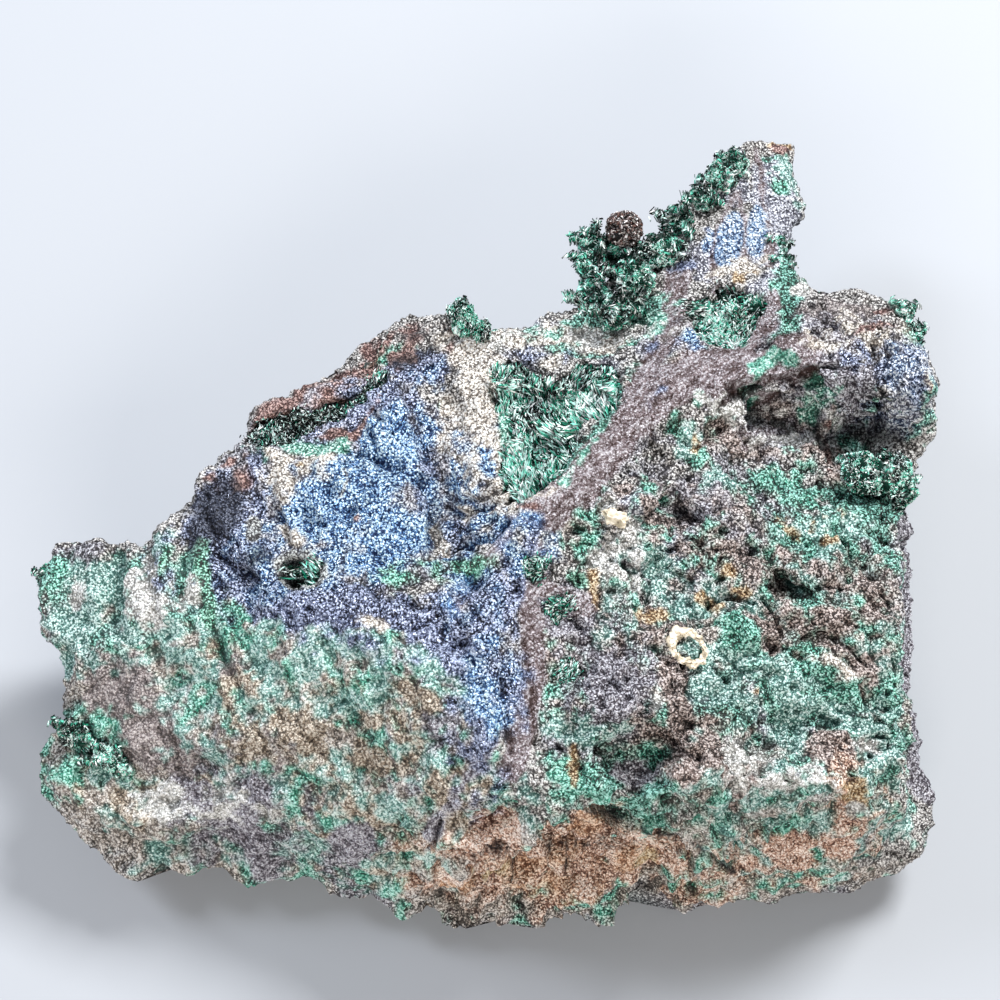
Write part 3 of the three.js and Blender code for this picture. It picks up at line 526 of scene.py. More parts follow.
        ) + [
            band(0.25, (-16.1, -1.1), (-15.6, -2.2), (-16.6, -4.4)),
        ],
    ),
    # Cream quartz and calcite grains.
    "cream_grains": Mineral(
        shades=("#5a534d", "#d8cec2", "#fffefb"), dullness=0.35, soft=1.3, ragged=1.5, broken=0.6,
        solid=spots(
            (2.2, 1.6, 0.9, 3), (3.4, -4.8, 1.1, 1.0), (14.3, 16, 1.4, 0.9), (44.2, 14.8, 1.6, 0.8),
            (46.6, 15.2, 1.8, 0.6), (38.4, -25, 2.0, 0.6, -20), (31.6, 25.3, 2.4, 1.0, 10),
            (8.6, 14, 1.1, 1.4),
        ) + [
            band(2.8, (-1.4, 14), (-0.3, 9), (0.2, 6.4)),
            band(1.0, (5, 15.8), (10, 17.2), (15.6, 16.4)),
            band(1.0, (-24.8, 1.6), (-21.5, 0.6), (-18.2, 0.8)),
            band(1.2, (-24.4, 1.4), (-23.4, -1.3), (-23.6, -4)),
            band(0.6, (-23.2, -7.6), (-21.4, -10)),
            band(0.5, (-4.9, -8.6), (-4.4, -10.4), (-5.6, -12)),
            band(0.4, (-13.7, -21), (-10.6, -21.7)),
        ],
        mottled=spots(
            (10, 17, 8, 2), (-22, 0.6, 4, 1.6), (45, 14.4, 4, 2), (4, -6, 3, 2),
        ) + [
            band(4.0, (-2, 14), (-1, 8.6), (0.2, 2.6), (1, -3)),
        ],
    ),
    # Bright mint spots on the vein and under the shoulder seam.
    "mint_spots": Mineral(
        shades=("#1a5345", "#6cb9a4", "#e4fff8"), dullness=0.3, soft=0.5, ragged=0.8, broken=0.7,
        solid=spots(
            (36.4, 11, 1.0, 0.8), (25.4, 5.8, 0.9, 0.8), (29.6, 14.6, 1.8, 0.9),
            (17.4, 18.8, 1.6, 1.0), (21.6, 18.4, 1.2, 2), (8.6, 17.4, 1.4, 0.8),
        ) + [
            band(0.8, (31.6, 9.1), (32.9, 10.6), (34.4, 11.8)),
            band(0.8, (-23.6, 3.2), (-21.4, 2.2), (-18.2, 2.2), (-16.2, 3)),
            band(0.7, (3.0, 9), (2.7, 5), (2.9, 1.6)),
            band(0.35, (9.4, -5.6), (12.6, -0.6), (15.8, 4.6)),
        ],
        mottled=spots((40, 8, 1.6, 1.2), (20, 20, 3, 3)),
    ),
    # Salmon-pink feldspar in the broken upper edge.
    "pink_feldspar": Mineral(
        shades=("#351b18", "#74504a", "#c8aaa4"), dullness=0.45, soft=0.6, ragged=0.9, broken=0.6,
        solid=spots(
            (-17.2, 4.4, 1.9, 0.6), (37.9, 47.4, 1.4, 1.0), (48.2, 18.6, 1.4, 0.6),
            (-29.6, 1.4, 1.2, 0.6, 20), (-14.7, -7.5, 0.5, 0.6), (41.6, 3, 0.4, 2.4),
        ) + [
            band(1.0, (-27.4, 6.4), (-25.6, 8.8), (-22.6, 9.8)),
            band(0.6, (-20.2, 12.6), (-16.1, 14), (-13.2, 15.8), (-11.4, 17.4)),
            band(0.5, (-11, 15.2), (-8, 14.4)), band(0.5, (-15.7, 3.2), (-14.4, 5.4), (-12.6, 8.4)),
            band(0.3, (44, 14.2), (46.6, 15.8), (49.6, 16.4)), band(0.35, (4.4, -8), (6.8, -8.8)),
        ],
        mottled=spots((-19, 11, 6, 2, 25), (-30, -1, 2.4, 1.6), (-10, 17, 4, 1.6)),
    ),
    # Chalk-white crumbs.
    "white_crumbs": Mineral(
        shades=("#7d7c79", "#c9c9c5", "#ffffff"), dullness=0.5, soft=0.5, ragged=0.6, broken=0.8,
        solid=spots(
            (14.8, -12.4, 0.8, 1.4), (17.7, -16.4, 0.5, 1.8), (38.4, 22.2, 0.8),
            (42.4, -40.2, 1.4, 0.5), (16.6, -21.1, 0.5), (43.5, -33.6, 1.4, 0.9),
            (41.2, -15.4, 0.5), (44.2, -14, 0.5, 0.9), (-36, -20.8, 1.2, 0.6),
            (19.2, -31.6, 0.5, 0.8), (-48, -14, 1.0, 1.4), (-39.4, -15.4, 0.8, 1.8),
            (-40, -36.6, 1.6, 0.5),
        ),
        # the mottled patch at (34, 5) is partly painted light, lifting the recess below the ledge
        mottled=spots(
            (-38, -15, 4, 4), (32, -37.4, 5, 2.4), (34, 5, 5, 2), (15.6, -14, 2, 4),
            (10, 17, 7, 1.4), (-32, -38, 5, 1.2),
        ),
    ),
}
MOTTLED_COVER, MOTTLED_SOFT_MM = 0.47, 2.5  # about half of the ground stays bare
BARE_ORE = ("#1c1918", "#7c7876", "#e4e2e0")  # between the layers, in the same three shades
BARE_DULLNESS, BARE_METAL = 0.45, 0.1
TONE_LIFT = 0.13
# Dark manganese film where the rock is nearly black, and painted shade in the pits, in the left vug and
# under the ledge.
FILM_AND_SHADE_COLOUR = "#0c0e18"
DARK_FILM_AND_SHADE = spots(
    (-8, 17.6, 2.4, 1.2), (-31.4, -4.6, 3.6, 4.8, -20), (-34, -8, 1.6, 3), (34, 7.8, 3.4, 0.5, 10),
    (46.5, 5.4, 5, 0.8), (40.4, 5, 0.9, 2.4), (-21.6, -12.4, 1.9, 0.9, -20),
    (-26, -11.6, 2, 1.4, 40), (-5.4, -6.6, 0.8, 3.6), (27, -27.2, 1.0, 0.4, -25),
    (36.7, -31.6, 0.7, 0.5),
) + [
    band(1.2, (-10.2, 13.7), (-6, 15.4)),
    band(0.5, (-27.1, 1.8), (-26.6, 5.4), (-24, 7.2), (-18.4, 7.7)),
]
# Where the stone is drawn out into fibres: the lower left and the near edge.
FIBROUS = spots((-26, -32, 26, 14), (-6, -40, 14, 9), (30, -43, 22, 6))


def ore_material():
    """Broken bornite ore. Its grit is about 0.3 mm wide, each grain lighter on its dome with painted
    shade in the gaps between grains. Each grain is tilted its own way and some carry a painted glint,
    which makes the face glitter. The dark, middle and light shades of the minerals come with the mesh."""
    material, tree, shader = new_material("bornite_ore_broken")
    place = node(tree, "TexCoord", {}).outputs["Object"]
    grain_mm, crumb_mm, grit_mm, crag_mm, wander_mm = 0.31, 0.19, 0.3, 1.1, 1.9

    def centred(colour):
        return node(tree, "VectorMath", {0: colour, 1: (0.5, 0.5, 0.5)}, operation="SUBTRACT")

    def shaken(noise_node, far_mm):
        """The place, shaken by a noise."""
        shift = centred(noise_node.outputs["Color"])
        return node(
            tree, "VectorMath", {0: shift, 1: (far_mm * MM,) * 3, 2: place}, operation="MULTIPLY_ADD",
        )

    def grained(angle, long_mm, wide_mm, deep_mm):
        """Noise drawn out along a direction in the face."""
        scale = (long_mm * MM, wide_mm * MM, deep_mm * MM)
        turned = node(
            tree, "Mapping", {"Vector": bent, "Rotation": (0, 0, math.radians(angle)), "Scale": scale},
            vector_type="TEXTURE",
        )
        return node(tree, "TexNoise", {"Vector": turned, "Scale": 1.0, "Detail": 2.0})

    def stored(name, output="Fac"):
        return node(tree, "Attribute", {}, attribute_name=name).outputs[output]

    def share_of(name, amount):
        return node(tree, "Math", {0: stored(name), 1: amount}, operation="MULTIPLY")

    wander = node(tree, "TexNoise", {"Vector": place, "Scale": 1 / (wander_mm * MM), "Detail": 2.0})
    bent = shaken(wander, 1.7)
    crags = node(
        tree, "TexNoise",
        {"Vector": bent, "Scale": 1 / (crag_mm * MM), "Detail": 3.0, "Roughness": 0.6},
    )
    fine = shaken(crags, 0.5)
    grains = node(tree, "TexVoronoi", {"Vector": fine, "Scale": 1 / (grain_mm * MM)})
    crumbs = node(tree, "TexVoronoi", {"Vector": fine, "Scale": 1 / (crumb_mm * MM)})
    grit = node(
        tree, "TexNoise",
        {"Vector": fine, "Scale": 1 / (grit_mm * MM), "Detail": 2.0, "Roughness": 0.7},
    )
    fibres = grained(-62, 2.0, 0.42, 0.9)
    streaks = grained(40, 2.8, 0.46, 0.8)
    grain_own = node(tree, "SeparateColor", {"Color": grains.outputs["Color"]})
    crumb_own = node(tree, "SeparateColor", {"Color": crumbs.outputs["Color"]})

    # shade of each grain, from painted shade in the gaps to 1 on a painted glint, with painted light on
    # each grain's dome; the last term centres the sum
    dome_height_and_shade = node(
        tree, "MapRange",
        {"Value": grains, "From Min": 0.3, "From Max": 0.72, "To Min": 1.0, "To Max": 0.0},
        interpolation_type="SMOOTHSTEP",
    )
    painted_glint = node(tree, "Math", {0: crumb_own, 1: 0.86}, operation="GREATER_THAN")
    granular = weighted_sum(
        tree, (grit, 2.3), (crags, 0.85), (dome_height_and_shade, 0.95), (grain_own, 0.5), (painted_glint, 0.5), (1.94, -1.0),
    )
    fibrous = weighted_sum(
        tree, (fibres, 1.9), (grit, 1.6), (dome_height_and_shade, 0.35), (grain_own, 0.2), (painted_glint, 0.4), (1.58, -1.0),
    )
    veined = weighted_sum(
        tree, (streaks, 1.8), (grit, 1.7), (dome_height_and_shade, 0.3), (grain_own, 0.2), (painted_glint, 0.3), (1.64, -1.0),
    )
    shade = node(tree, "Mix", {0: share_of("fibrous", 0.7), 2: granular, 3: fibrous})
    shade = node(tree, "Mix", {0: share_of("veined", 0.85), 2: shade, 3: veined})
    shade = node(tree, "Math", {0: shade, 1: stored("tone")}, operation="ADD")
    twice = node(tree, "Math", {0: shade, 1: 2.0}, operation="MULTIPLY")
    colour = node(
        tree, "Mix",
        {0: twice, 6: stored("dark_shade", "Color"), 7: stored("middle_shade", "Color")},
        data_type="RGBA",
    )
    over = node(tree, "Math", {0: twice, 1: 1.0}, operation="SUBTRACT")
    colour = node(
        tree, "Mix", {0: over, 6: colour, 7: stored("light_shade", "Color")}, data_type="RGBA",
    )
    rough = node(
        tree, "Math", {0: grain_own.outputs[2], 1: 0.3, 2: stored("dullness")},
        operation="MULTIPLY_ADD",
    )

    # a facet for each grain, then the relief of the grit
    tilt = centred(grains.outputs["Color"])
    tilting = node(tree, "Math", {0: stored("veined"), 1: -0.4, 2: 0.7}, operation="MULTIPLY_ADD")
    tilt = node(tree, "VectorMath", {0: tilt, "Scale": tilting}, operation="SCALE")
    facing = node(tree, "NewGeometry", {}).outputs["Normal"]
    facet = node(tree, "VectorMath", {0: facing, 1: tilt}, operation="ADD")
    facet = node(tree, "VectorMath", {0: facet}, operation="NORMALIZE")
    relief = weighted_sum(tree, (grit, 1.4), (dome_height_and_shade, 0.5), (crags, 2.0))
    bump = node(
        tree, "Bump", {"Height": relief, "Normal": facet, "Strength": 1.0, "Distance": 0.32 * MM},
    )
    feed(tree, shader, {
        "Base Color": colour, "Roughness": rough, "Metallic": stored("metal"), "Normal": bump,
    })
    return material


def crystal_material(name, shades, rough, ior):
    """Glassy crystals. The map runs across the shades, one place for each facet, and up the crystal's
    length, so every facet has its own tone and the feet get painted shade."""
    material, tree, shader = new_material(name)
    place = node(tree, "SeparateXYZ", {"Vector": node(tree, "UVMap", {}, uv_map="OFBake")})
    facet = node(tree, "ValToRGB", {"Fac": place.outputs["X"]})
    stops = facet.color_ramp.elements
    while len(stops) < len(shades):
        stops.new(1.0)
    for stop, (position, code) in zip(stops, shades):
        stop.position = position
        stop.color = linear(code)
    # painted shade: the colour darkens towards the feet of the crystals
    depth = node(
        tree, "MapRange",
        {"Value": place.outputs["Y"], "From Min": 0.0, "From Max": 0.65, "To Min": 0.9, "To Max": 0.0},
        interpolation_type="SMOOTHSTEP",
    )
    painted_foot_shade = linear(shades[0][1])
    feed(tree, shader, {
        "Base Color": node(tree, "Mix", {0: depth, 6: facet, 7: painted_foot_shade}, data_type="RGBA"),
        "Roughness": rough, "IOR": ior, "Specular IOR Level": 0.28,
    })
    return material


# ---------------------------------------------------------------- meshes
def cad_copy(name):
    """The CAD node's mesh with its doubles merged."""
    bm = bmesh.new()
    bm.from_mesh(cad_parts[name].data)
    bmesh.ops.remove_doubles(bm, verts=bm.verts, dist=1e-6)
    return bm


def as_mesh(bm, name):
    mesh = bpy.data.meshes.new(name)
    bm.to_mesh(mesh)
    bm.free()
    return mesh


def with_modifier(mesh, kind, chosen=None, **settings):
    """The mesh after one modifier, which works mostly on the chosen vertices if given."""
    carrier = bpy.data.objects.new("carrier", mesh)
    bpy.context.scene.collection.objects.link(carrier)
    modifier = carrier.modifiers.new(kind.title(), kind)
    if chosen is not None:
        carrier.vertex_groups.new(name="chosen").add(chosen.tolist(), 1.0, "REPLACE")
        modifier.vertex_group = "chosen"
    for name, value in settings.items():
        setattr(modifier, name, value)
    graph = bpy.context.evaluated_depsgraph_get()
    result = bpy.data.meshes.new_from_object(carrier.evaluated_get(graph))
    bpy.data.objects.remove(carrier)
    return result


def read(items, field, width, kind=float):
    """One field of all vertices, edges or loops, a row for each."""
    values = np.empty(len(items) * width, kind)
    items.foreach_get(field, values)
    return values.reshape(-1, width)


def points_of(mesh):
    return read(mesh.vertices, "co", 3) / MM


def normals_of(mesh):
    return read(mesh.vertices, "normal", 3)


def boxed(points):
    """The points in metres, none of them outside the CAD model's box."""
    low, high = (np.array(corner) / MM for corner in CAD_BOX)
    return np.clip(points, low, high) * MM


def move_points(mesh, points):
    mesh.vertices.foreach_set("co", boxed(points).ravel())
    mesh.update()


def scaled(points, scale):
    """The points spread or drawn in about their middle."""
    middle = (points.min(0) + points.max(0)) / 2
    return middle + (points - middle) * scale


def triangle_count(mesh):
    return len(mesh.loops) - 2 * len(mesh.polygons)


def store_map(mesh, across, upward):
    """The map that the crystal materials read."""
    layer = mesh.uv_layers.new(name="OFBake")
    layer.data.foreach_set("uv", np.stack([across, upward], axis=-1).ravel().astype(np.float32))


def smoothed(mesh, times):
    """The mesh with every corner moved half way to its neighbours, some times over."""
    bm = bmesh.new()
    bm.from_mesh(mesh)
    for _ in range(times):
        bmesh.ops.smooth_vert(
            bm, verts=bm.verts, factor=0.5, use_axis_x=True, use_axis_y=True, use_axis_z=True,
        )
    bm.to_mesh(mesh)
    bm.free()
    return mesh


def finish_piece(name, mesh, material, replaced):
    """A piece that stands for a CAD node, in its own finish, and rides with the stone."""
    mesh.materials.clear()
    mesh.materials.append(material)
    piece = bpy.data.objects.new(name, mesh)
    bpy.context.scene.collection.objects.link(piece)
    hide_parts(replaced)
    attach(piece, "root")


# ---------------------------------------------------------------- the rock
VOXEL_MM = 0.34
FINEST_TRIANGLES = 196000

# Where the stone has its own kind of relief.
RUBBLE = spots((33, -14, 24, 30), (40, 10, 13, 10), (18, -30, 12, 14))
SMOOTH_VEIN = MINERALS["bornite_vein"].solid
BLUE_SLOPE = MINERALS["blue_tarnish"].solid + MINERALS["indigo_tarnish"].solid
MINT_COLUMNS = spots((-41, -15, 13, 8))
COLUMN_GAP_MM = 4.4
RUST_WALL = [spot(10, -46, 22, z=14)]

# Corners of the outline: place, reach and how far they are pulled.
CORNERS = [
    ((-50, -10.5, 17), 6, (-0.6, 1.2, 0)), ((-46, -9.3, 19), 6, (0, 1.5, 0)),
    ((-51.5, -14, 17), 4, (-1.2, 0, 0)), ((-48.4, -23.8, 13), 5, (-1.4, 0, 0)),
    ((-51, -33, 10), 6, (-0.7, 0, 0)), ((-41.3, -43.6, 7), 4.5, (-0.4, -1.4, 0)),
    ((-34, -44.6, 7), 4.5, (0, -2.0, 0)), ((-27, -44.4, 6), 4, (0, -1.3, 0)),
    ((-20, -45, 6), 4, (0, 1.0, 0)), ((-13, -46.6, 6), 4, (0, 0.8, 0)),
    ((-8, -48, 6), 4, (0, -1.1, 0)), ((-2.5, -49.2, 5), 4, (0, -0.9, 0)),
    ((25, -47.4, 5), 4.5, (0, -1.1, 0)), ((33, -46.8, 5), 4.5, (0, -0.8, 0)),
    ((51.6, -41, 6), 6, (1.3, -1.1, 0)), ((53, -36, 7), 5, (1.0, 0, 0)),
    ((53.6, 6.7, 21), 4.5, (1.9, 0, 0)), ((53.6, 2, 20), 3.5, (1.0, 0, 0)),
    ((40.6, 38.5, 21), 5, (1.1, 0, 0)), ((39.6, 47, 21), 4, (1.6, 1.6, 0)),
    ((-16, 13.4, 23), 5, (0.5, -1.4, 0)), ((-33.5, 0.6, 21), 5, (-0.9, 1.0, 0)),
    ((-26.8, 8.6, 21), 4, (-1.0, 0.9, 0)), ((44, 20.8, 28), 5, (0, 0.9, 0)),
    ((7.4, 21, 23), 4, (0, 1.8, 0)), ((3, 19, 23), 3, (0, 0.8, 0)),
    ((-51.4, -16, 15), 5, (-1.2, 0, 0)), ((-50.4, -9.4, 17), 3.4, (-0.5, 0.9, 0)),
    ((-51, -29, 12), 3, (-0.9, 0, 0)), ((-34, -44.6, 6), 3, (0, 0.9, 0)),
    ((-32, -44, 6), 3, (0, 1.0, 0)), ((-9.5, -47.4, 6), 4, (0, -1.2, 0)),
    ((-14, -46.6, 6), 3, (0, -0.8, 0)), ((18, -47, 4), 3, (0, -0.8, 0)),
    ((51.6, -33, 11), 5, (-1.1, 0, 0)), ((51.6, -40, 8), 4, (-0.5, 0.4, 0)),
    ((-14, 15.4, 24), 4, (0.4, -0.9, 0)), ((-26.4, 8.2, 23), 3, (0.7, -0.6, 0)),
    ((-33.3, -2.2, 23), 4, (-0.6, 0.6, 0)), ((55, 10.5, 24), 3, (0.6, 0, 0)),
    ((51.6, -4, 15), 3, (0.6, 0, 0)), ((41, 46, 21), 3, (-0.8, 0, 0)),
]

# Cracks and creases: half width, depth and path. The deep ones get painted shade inside.
CRACKS = [
    (0.5, 1.8, [(46.7, 13.5), (46.9, 10.8), (46.9, 8), (48, 6.2)]),
    (0.3, 0.9, [(41.2, 20.4), (41.6, 18.2), (42.4, 16.8)]),
    (0.8, 0.9, [(-12, 0.6), (-9.6, -0.4), (-7.5, -1.9), (-6.3, -4), (-6, -7.3), (-5.7, -10.7)]),
    (0.6, 1.0, [(-16.2, 1.4), (-12, 0.5)]),
    (0.7, 0.8, [(-10.5, 10.9), (-8.4, 7.7), (-6.8, 3), (-5.9, -0.2), (-4.9, -2.4), (-3.7, -4)]),
    (0.5, 1.0, [(-3.7, -4), (-2.3, -5.1), (-0.2, -5.4), (2.1, -5)]),
    (0.5, 0.9, [(-4.1, -5), (-2.5, -6.6), (-0.2, -6.9), (3.3, -6.3)]),
    (0.6, 1.0, [(-6.1, -12.6), (-4.2, -11.4), (-1.3, -10.9), (1, -11.3), (2.4, -10)]),
    (0.6, 0.7, [(-13.9, -13), (-13.8, -15.6), (-12, -17.1), (-9.1, -18.6), (-5.7, -19.5)]),
    (0.45, 1.1, [(-31.3, -10.2), (-30.4, -11), (-28.1, -12.8), (-25.9, -14.1)]),
    (0.4, 0.9, [(-24.3, -4.9), (-23.7, -6.8), (-22.6, -9.3)]),
    (0.6, 0.6, [(-15.8, 4.8), (-12.2, 8), (-9.9, 10.9)]),
    (0.6, 0.7, [(-11.4, -17.8), (-6.9, -15.9), (-2.4, -13.3)]),
    (0.7, 0.7, [(-7, -21.8), (-1.2, -18), (2.7, -14.8)]),
    (0.7, 0.7, [(-3.4, -25), (0.6, -22), (4, -18)]),
    (0.8, 0.8, [(-32.7, -16), (-30.8, -20.8), (-28.7, -25.9), (-26.2, -29.5)]),
    (0.6, 0.7, [(-18.2, -22.7), (-15.3, -29.1), (-12.4, -33.4)]),
    (1.1, 0.8, [(-34.6, -11), (-35.2, -14), (-36.6, -20)]),
    (1.1, 0.8, [(-43, -10), (-43.4, -14.9), (-45, -18.6)]),
    (0.9, 0.6, [(-38.6, -11), (-39, -14), (-38.4, -18)]),
    (0.5, 0.5, [(2.6, -24), (3.4, -30), (3, -36)]), (0.45, 0.5, [(5.2, -24), (6, -30), (5.6, -35)]),
    (0.5, 1.1, [(21.6, -4.3), (22, -5.6), (23, -6.9), (24.8, -8.8)]),
    (0.35, 0.8, [(22.8, -10.9), (24.2, -11.3), (25.4, -12.4)]),
    (0.5, 1.2, [(34.3, -15), (35.4, -16), (36.5, -17.4)]),
    (0.35, 0.9, [(36.5, -17.3), (38, -17), (39.6, -16.6), (41.2, -16.7)]),
    (0.35, 1.1, [(25.9, -18.7), (27.6, -18.3), (29.2, -18.6), (31, -19)]),
    (0.35, 1.1, [(32.3, -18.3), (33.2, -20.4), (33.8, -22.6), (33, -24.2)]),
    (0.4, 1.0, [(36.2, -22.7), (38.2, -22.2), (40.5, -23.2), (43.4, -25.2)]),
    (0.35, 0.9, [(42.6, -27.4), (43.8, -29.6)]),
    (0.45, 1.1, [
        (13.4, -36.2), (14.8, -35.2), (17.5, -34.6), (20.2, -34.7), (21, -35.8), (24, -37.1),
    ]),
    (0.5, 1.0, [(42.6, -12), (42.4, -13.6)]), (0.6, 1.2, [(39, 7.4), (40.6, 4.4), (41, 2)]),
    (0.4, 1.3, [(29, 22.5), (31.6, 21), (33.6, 18.8)]),
    (0.5, 1.2, [(31, 7.2), (34.4, 8.5), (37.6, 9.6), (41.6, 9.6)]),
    (0.4, 0.9, [(36.4, -41.1), (40, -41)]),
]
# Cracks of the near wall, seen square on: half width, depth and path across and up. The deep ones get
# painted shade inside.
WALL_CRACKS = [
    (0.45, 2.4, [
        (12.2, -27.8), (13.9, -28.4), (15.6, -29.5), (16.9, -30.6), (18.6, -30.8), (20.2, -31.5),
        (23, -31.9), (24.2, -32.4), (25.2, -33.5), (26.4, -34.4), (27.8, -35.6), (29.2, -36.4),
    ]),
    (0.32, 1.8, [
        (0.6, -31.8), (3.9, -32.6), (7.5, -32.5), (9.1, -32.6), (10.2, -32.2), (11.4, -32.9),
        (13.6, -31.6), (15.2, -30.8),
    ]),
    (0.3, 1.6, [(9.9, -32.8), (9.6, -34.2), (9.8, -36)]),
    (0.3, 1.5, [(-0.9, -33.8), (-0.2, -32.8), (1.2, -32.3), (2.8, -33), (3.7, -34.2), (3.8, -36)]),
    (0.28, 1.4, [(28.5, -32), (29.2, -33.4), (29.2, -35)]),
    (0.28, 1.4, [(21, -32.4), (23.6, -34.4), (24.2, -36)]),
    (0.28, 1.3, [(-4.4, -29), (-4.8, -31.4), (-6.4, -33)]),
    (0.28, 1.3, [(13.8, -33.4), (15.6, -33), (17.2, -33.6)]),
    (0.28, 1.3, [(5.6, -30), (6.2, -32.2)]),
]
FROM_THE_FRONT = np.array([[1, 0], [0, 0.906], [0, 0.423]])  # 65 degrees above the front


# Slabs that stand up from the broken right half and pits in it: height and outline.
STEPS = [
    (0.8, spot(29.4, -22.2, 3.0, 2.4)), (0.8, spot(38.2, -14.6, 4.0, 1.6, -6)),
    (0.8, spot(39.4, -20.3, 3.6, 1.3, -6)), (0.7, spot(20, -8.2, 2.8, 1.8, -20)),
    (-0.9, spot(35.5, -16.2, 1.4, 0.5, -45)), (0.6, spot(39.6, -26.2, 3, 1.2, -20)),
    (-0.9, spot(27, -27.3, 1.8, 0.7, -25)), (0.7, spot(39.4, -34.6, 2.8, 2.6)),
    (-0.8, spot(36.8, -31.6, 0.9, 0.6)), (-0.5, spot(17.3, -37.3, 3.9, 1.9)),
    (-0.5, spot(33.6, 7, 4.4, 1.0, -4)), (0.7, spot(22.2, -39, 1.7, 1.4)),
    (-0.7, spot(44, 5.2, 3.6, 0.8)), (0.5, spot(14.4, -29.8, 3, 4.2, -8)),
    (-0.5, spot(30.2, -13.2, 1.6, 0.8, -30)), (-0.5, spot(34.6, -12.9, 1.0, 0.6, -45)),
    (-1.0, spot(-21, -13.3, 2.7, 1.4, -25)), (-0.7, spot(10.8, -16.8, 1.2, 0.7)),
    (-0.4, spot(23.4, -12.3, 1.2, 0.5, -20)), (0.9, spot(1, -45, 2.2, z=14)),
]


def near_wall(points, bent):
    """How far each point is on the clay of the near wall, 0 to 1."""
    return ramp(depth_inside(bent, RUST_WALL), -2, 3) * ramp(-points[:, 1], 39, 42)


def cracks(points, wall_points, narrow=1.0):
    """How deep the cracks are at each point."""
    deep = np.zeros(len(points))
    wall = ramp(-points[:, 1], 38, 40.5)
    for table, places, where in ((CRACKS, points, 1), (WALL_CRACKS, wall_points, wall)):
        for half, depth, path in table:
            half *= narrow
            inside = band(half, *path)(places)
            deep = np.maximum(deep, depth * ramp(inside, -0.5 * half, 0.9 * half) * where)
    return deep


def rock_relief(points, up):
    """Height of the broken grain above the smooth stone, in millimetres. up is how far
    each point faces the sky."""
    warp = np.stack([lumps(points, 6, 2, seed) for seed in (1, 2, 3)], axis=1)
    bent = points + 1.2 * warp
    rubble = ramp(depth_inside(bent, RUBBLE), -2, 3) * ramp(up, 0.0, 0.4)
    vein = ramp(depth_inside(bent, SMOOTH_VEIN), -0.8, 0.8)
    slope = ramp(depth_inside(bent, BLUE_SLOPE), -1, 1.5)
    columns = ramp(depth_inside(points, MINT_COLUMNS), -2, 2)
    fibrous = ramp(depth_inside(bent, FIBROUS), -3, 3) * (1 - slope)
    calm = np.maximum(vein, 0.6 * slope)

    relief = 0.75 * lumps(bent, 4.2, 3, 4) * (1 - 0.75 * calm)
    plated = 0.6 * plates(bent, 3.0, 1) + 0.35 * plates(bent, 1.5, 2) + 0.35 * lumps(points, 1.9, 3, 5)
    relief += (0.35 + 0.65 * rubble) * (1 - 0.9 * calm) * plated
    relief += 0.3 * (pebbles(bent, 1.0, 2) - 0.5) * (1 - 0.6 * calm) * (1 - 0.5 * fibrous)
    clods = 2.1 * lumps(bent, 5.0, 2, 13) + 0.9 * plates(bent, 2.6, 3) + 0.4 * lumps(points, 1.6, 2, 14)
    relief += near_wall(points, bent) * clods
    relief += 0.2 * lumps(points, 0.7, 2, 6)
    # wrinkles on the blue slope, folds along the vein, fibres down the lower left
    relief += 1.1 * slope * drawn_out(bent, -58, 2.0, 2.6, 3, 10)
    relief += 0.3 * vein * drawn_out(bent, 42, 1.2, 4.0, 2, 11)
    relief += 0.55 * fibrous * drawn_out(bent, -66, 1.9, 3.0, 3, 12)
    across = points[:, 0] + 0.12 * points[:, 1] + warp[:, 0]
    relief += 0.4 * columns * np.sin(across * 2 * math.pi / COLUMN_GAP_MM)
    # small holes left by grains that fell out
    holes = lumps(bent, 2.4, 2, 7)
    relief -= rubble * (1 - calm) * 0.8 * ramp(holes, 0.28, 0.45)
    for height, outline in STEPS:
        relief += height * ramp(outline(points + 0.6 * warp), -0.3, 0.5)
    return relief - cracks(points + 0.5 * warp, points @ FROM_THE_FRONT + 0.4 * warp[:, :2])


def pulled(points, corners):
    """The points with some places pulled out or pushed in."""
    moved = points.copy()
    for place, reach, pull in corners:
        away = np.linalg.norm(points - place, axis=1) / reach
        moved += np.clip(1 - away ** 2, 0, 1)[:, None] ** 2 * pull
    return moved


def rock():
    mesh = as_mesh(cad_copy("bornite_matrix"), "rock_cad")
    mesh = with_modifier(mesh, "REMESH", mode="VOXEL", voxel_size=VOXEL_MM * MM)
    mesh = smoothed(mesh, 10)  # rounds off the voxels' steps
    points, normals = points_of(mesh), normals_of(mesh)
    relief = rock_relief(points, normals[:, 2])
    # flatter underneath, towards what it rests on
    resting = ramp(points[:, 2], 0.2, 2.5)
    relief = np.where(normals[:, 2] < 0, relief * (0.25 + 0.75 * resting), relief) - 0.1
    move_points(mesh, pulled(points + normals * relief[:, None], CORNERS))
    share = FINEST_TRIANGLES / triangle_count(mesh)
    hidden = np.flatnonzero((normals[:, 2] < -0.2) | (points[:, 2] < 4))
    mesh = with_modifier(mesh, "DECIMATE", hidden, ratio=min(share, 1.0), vertex_group_factor=6.0)
    # steep grit stops the thinning early, so what is left over goes evenly
    left = triangle_count(mesh)
    if left > FINEST_TRIANGLES:
        mesh = with_modifier(mesh, "DECIMATE", ratio=FINEST_TRIANGLES / left)
    move_points(mesh, points_of(mesh))
    paint(mesh)
    mesh.shade_smooth()
    finish_piece("bornite_ore", mesh, ore_material(), "bornite_matrix")


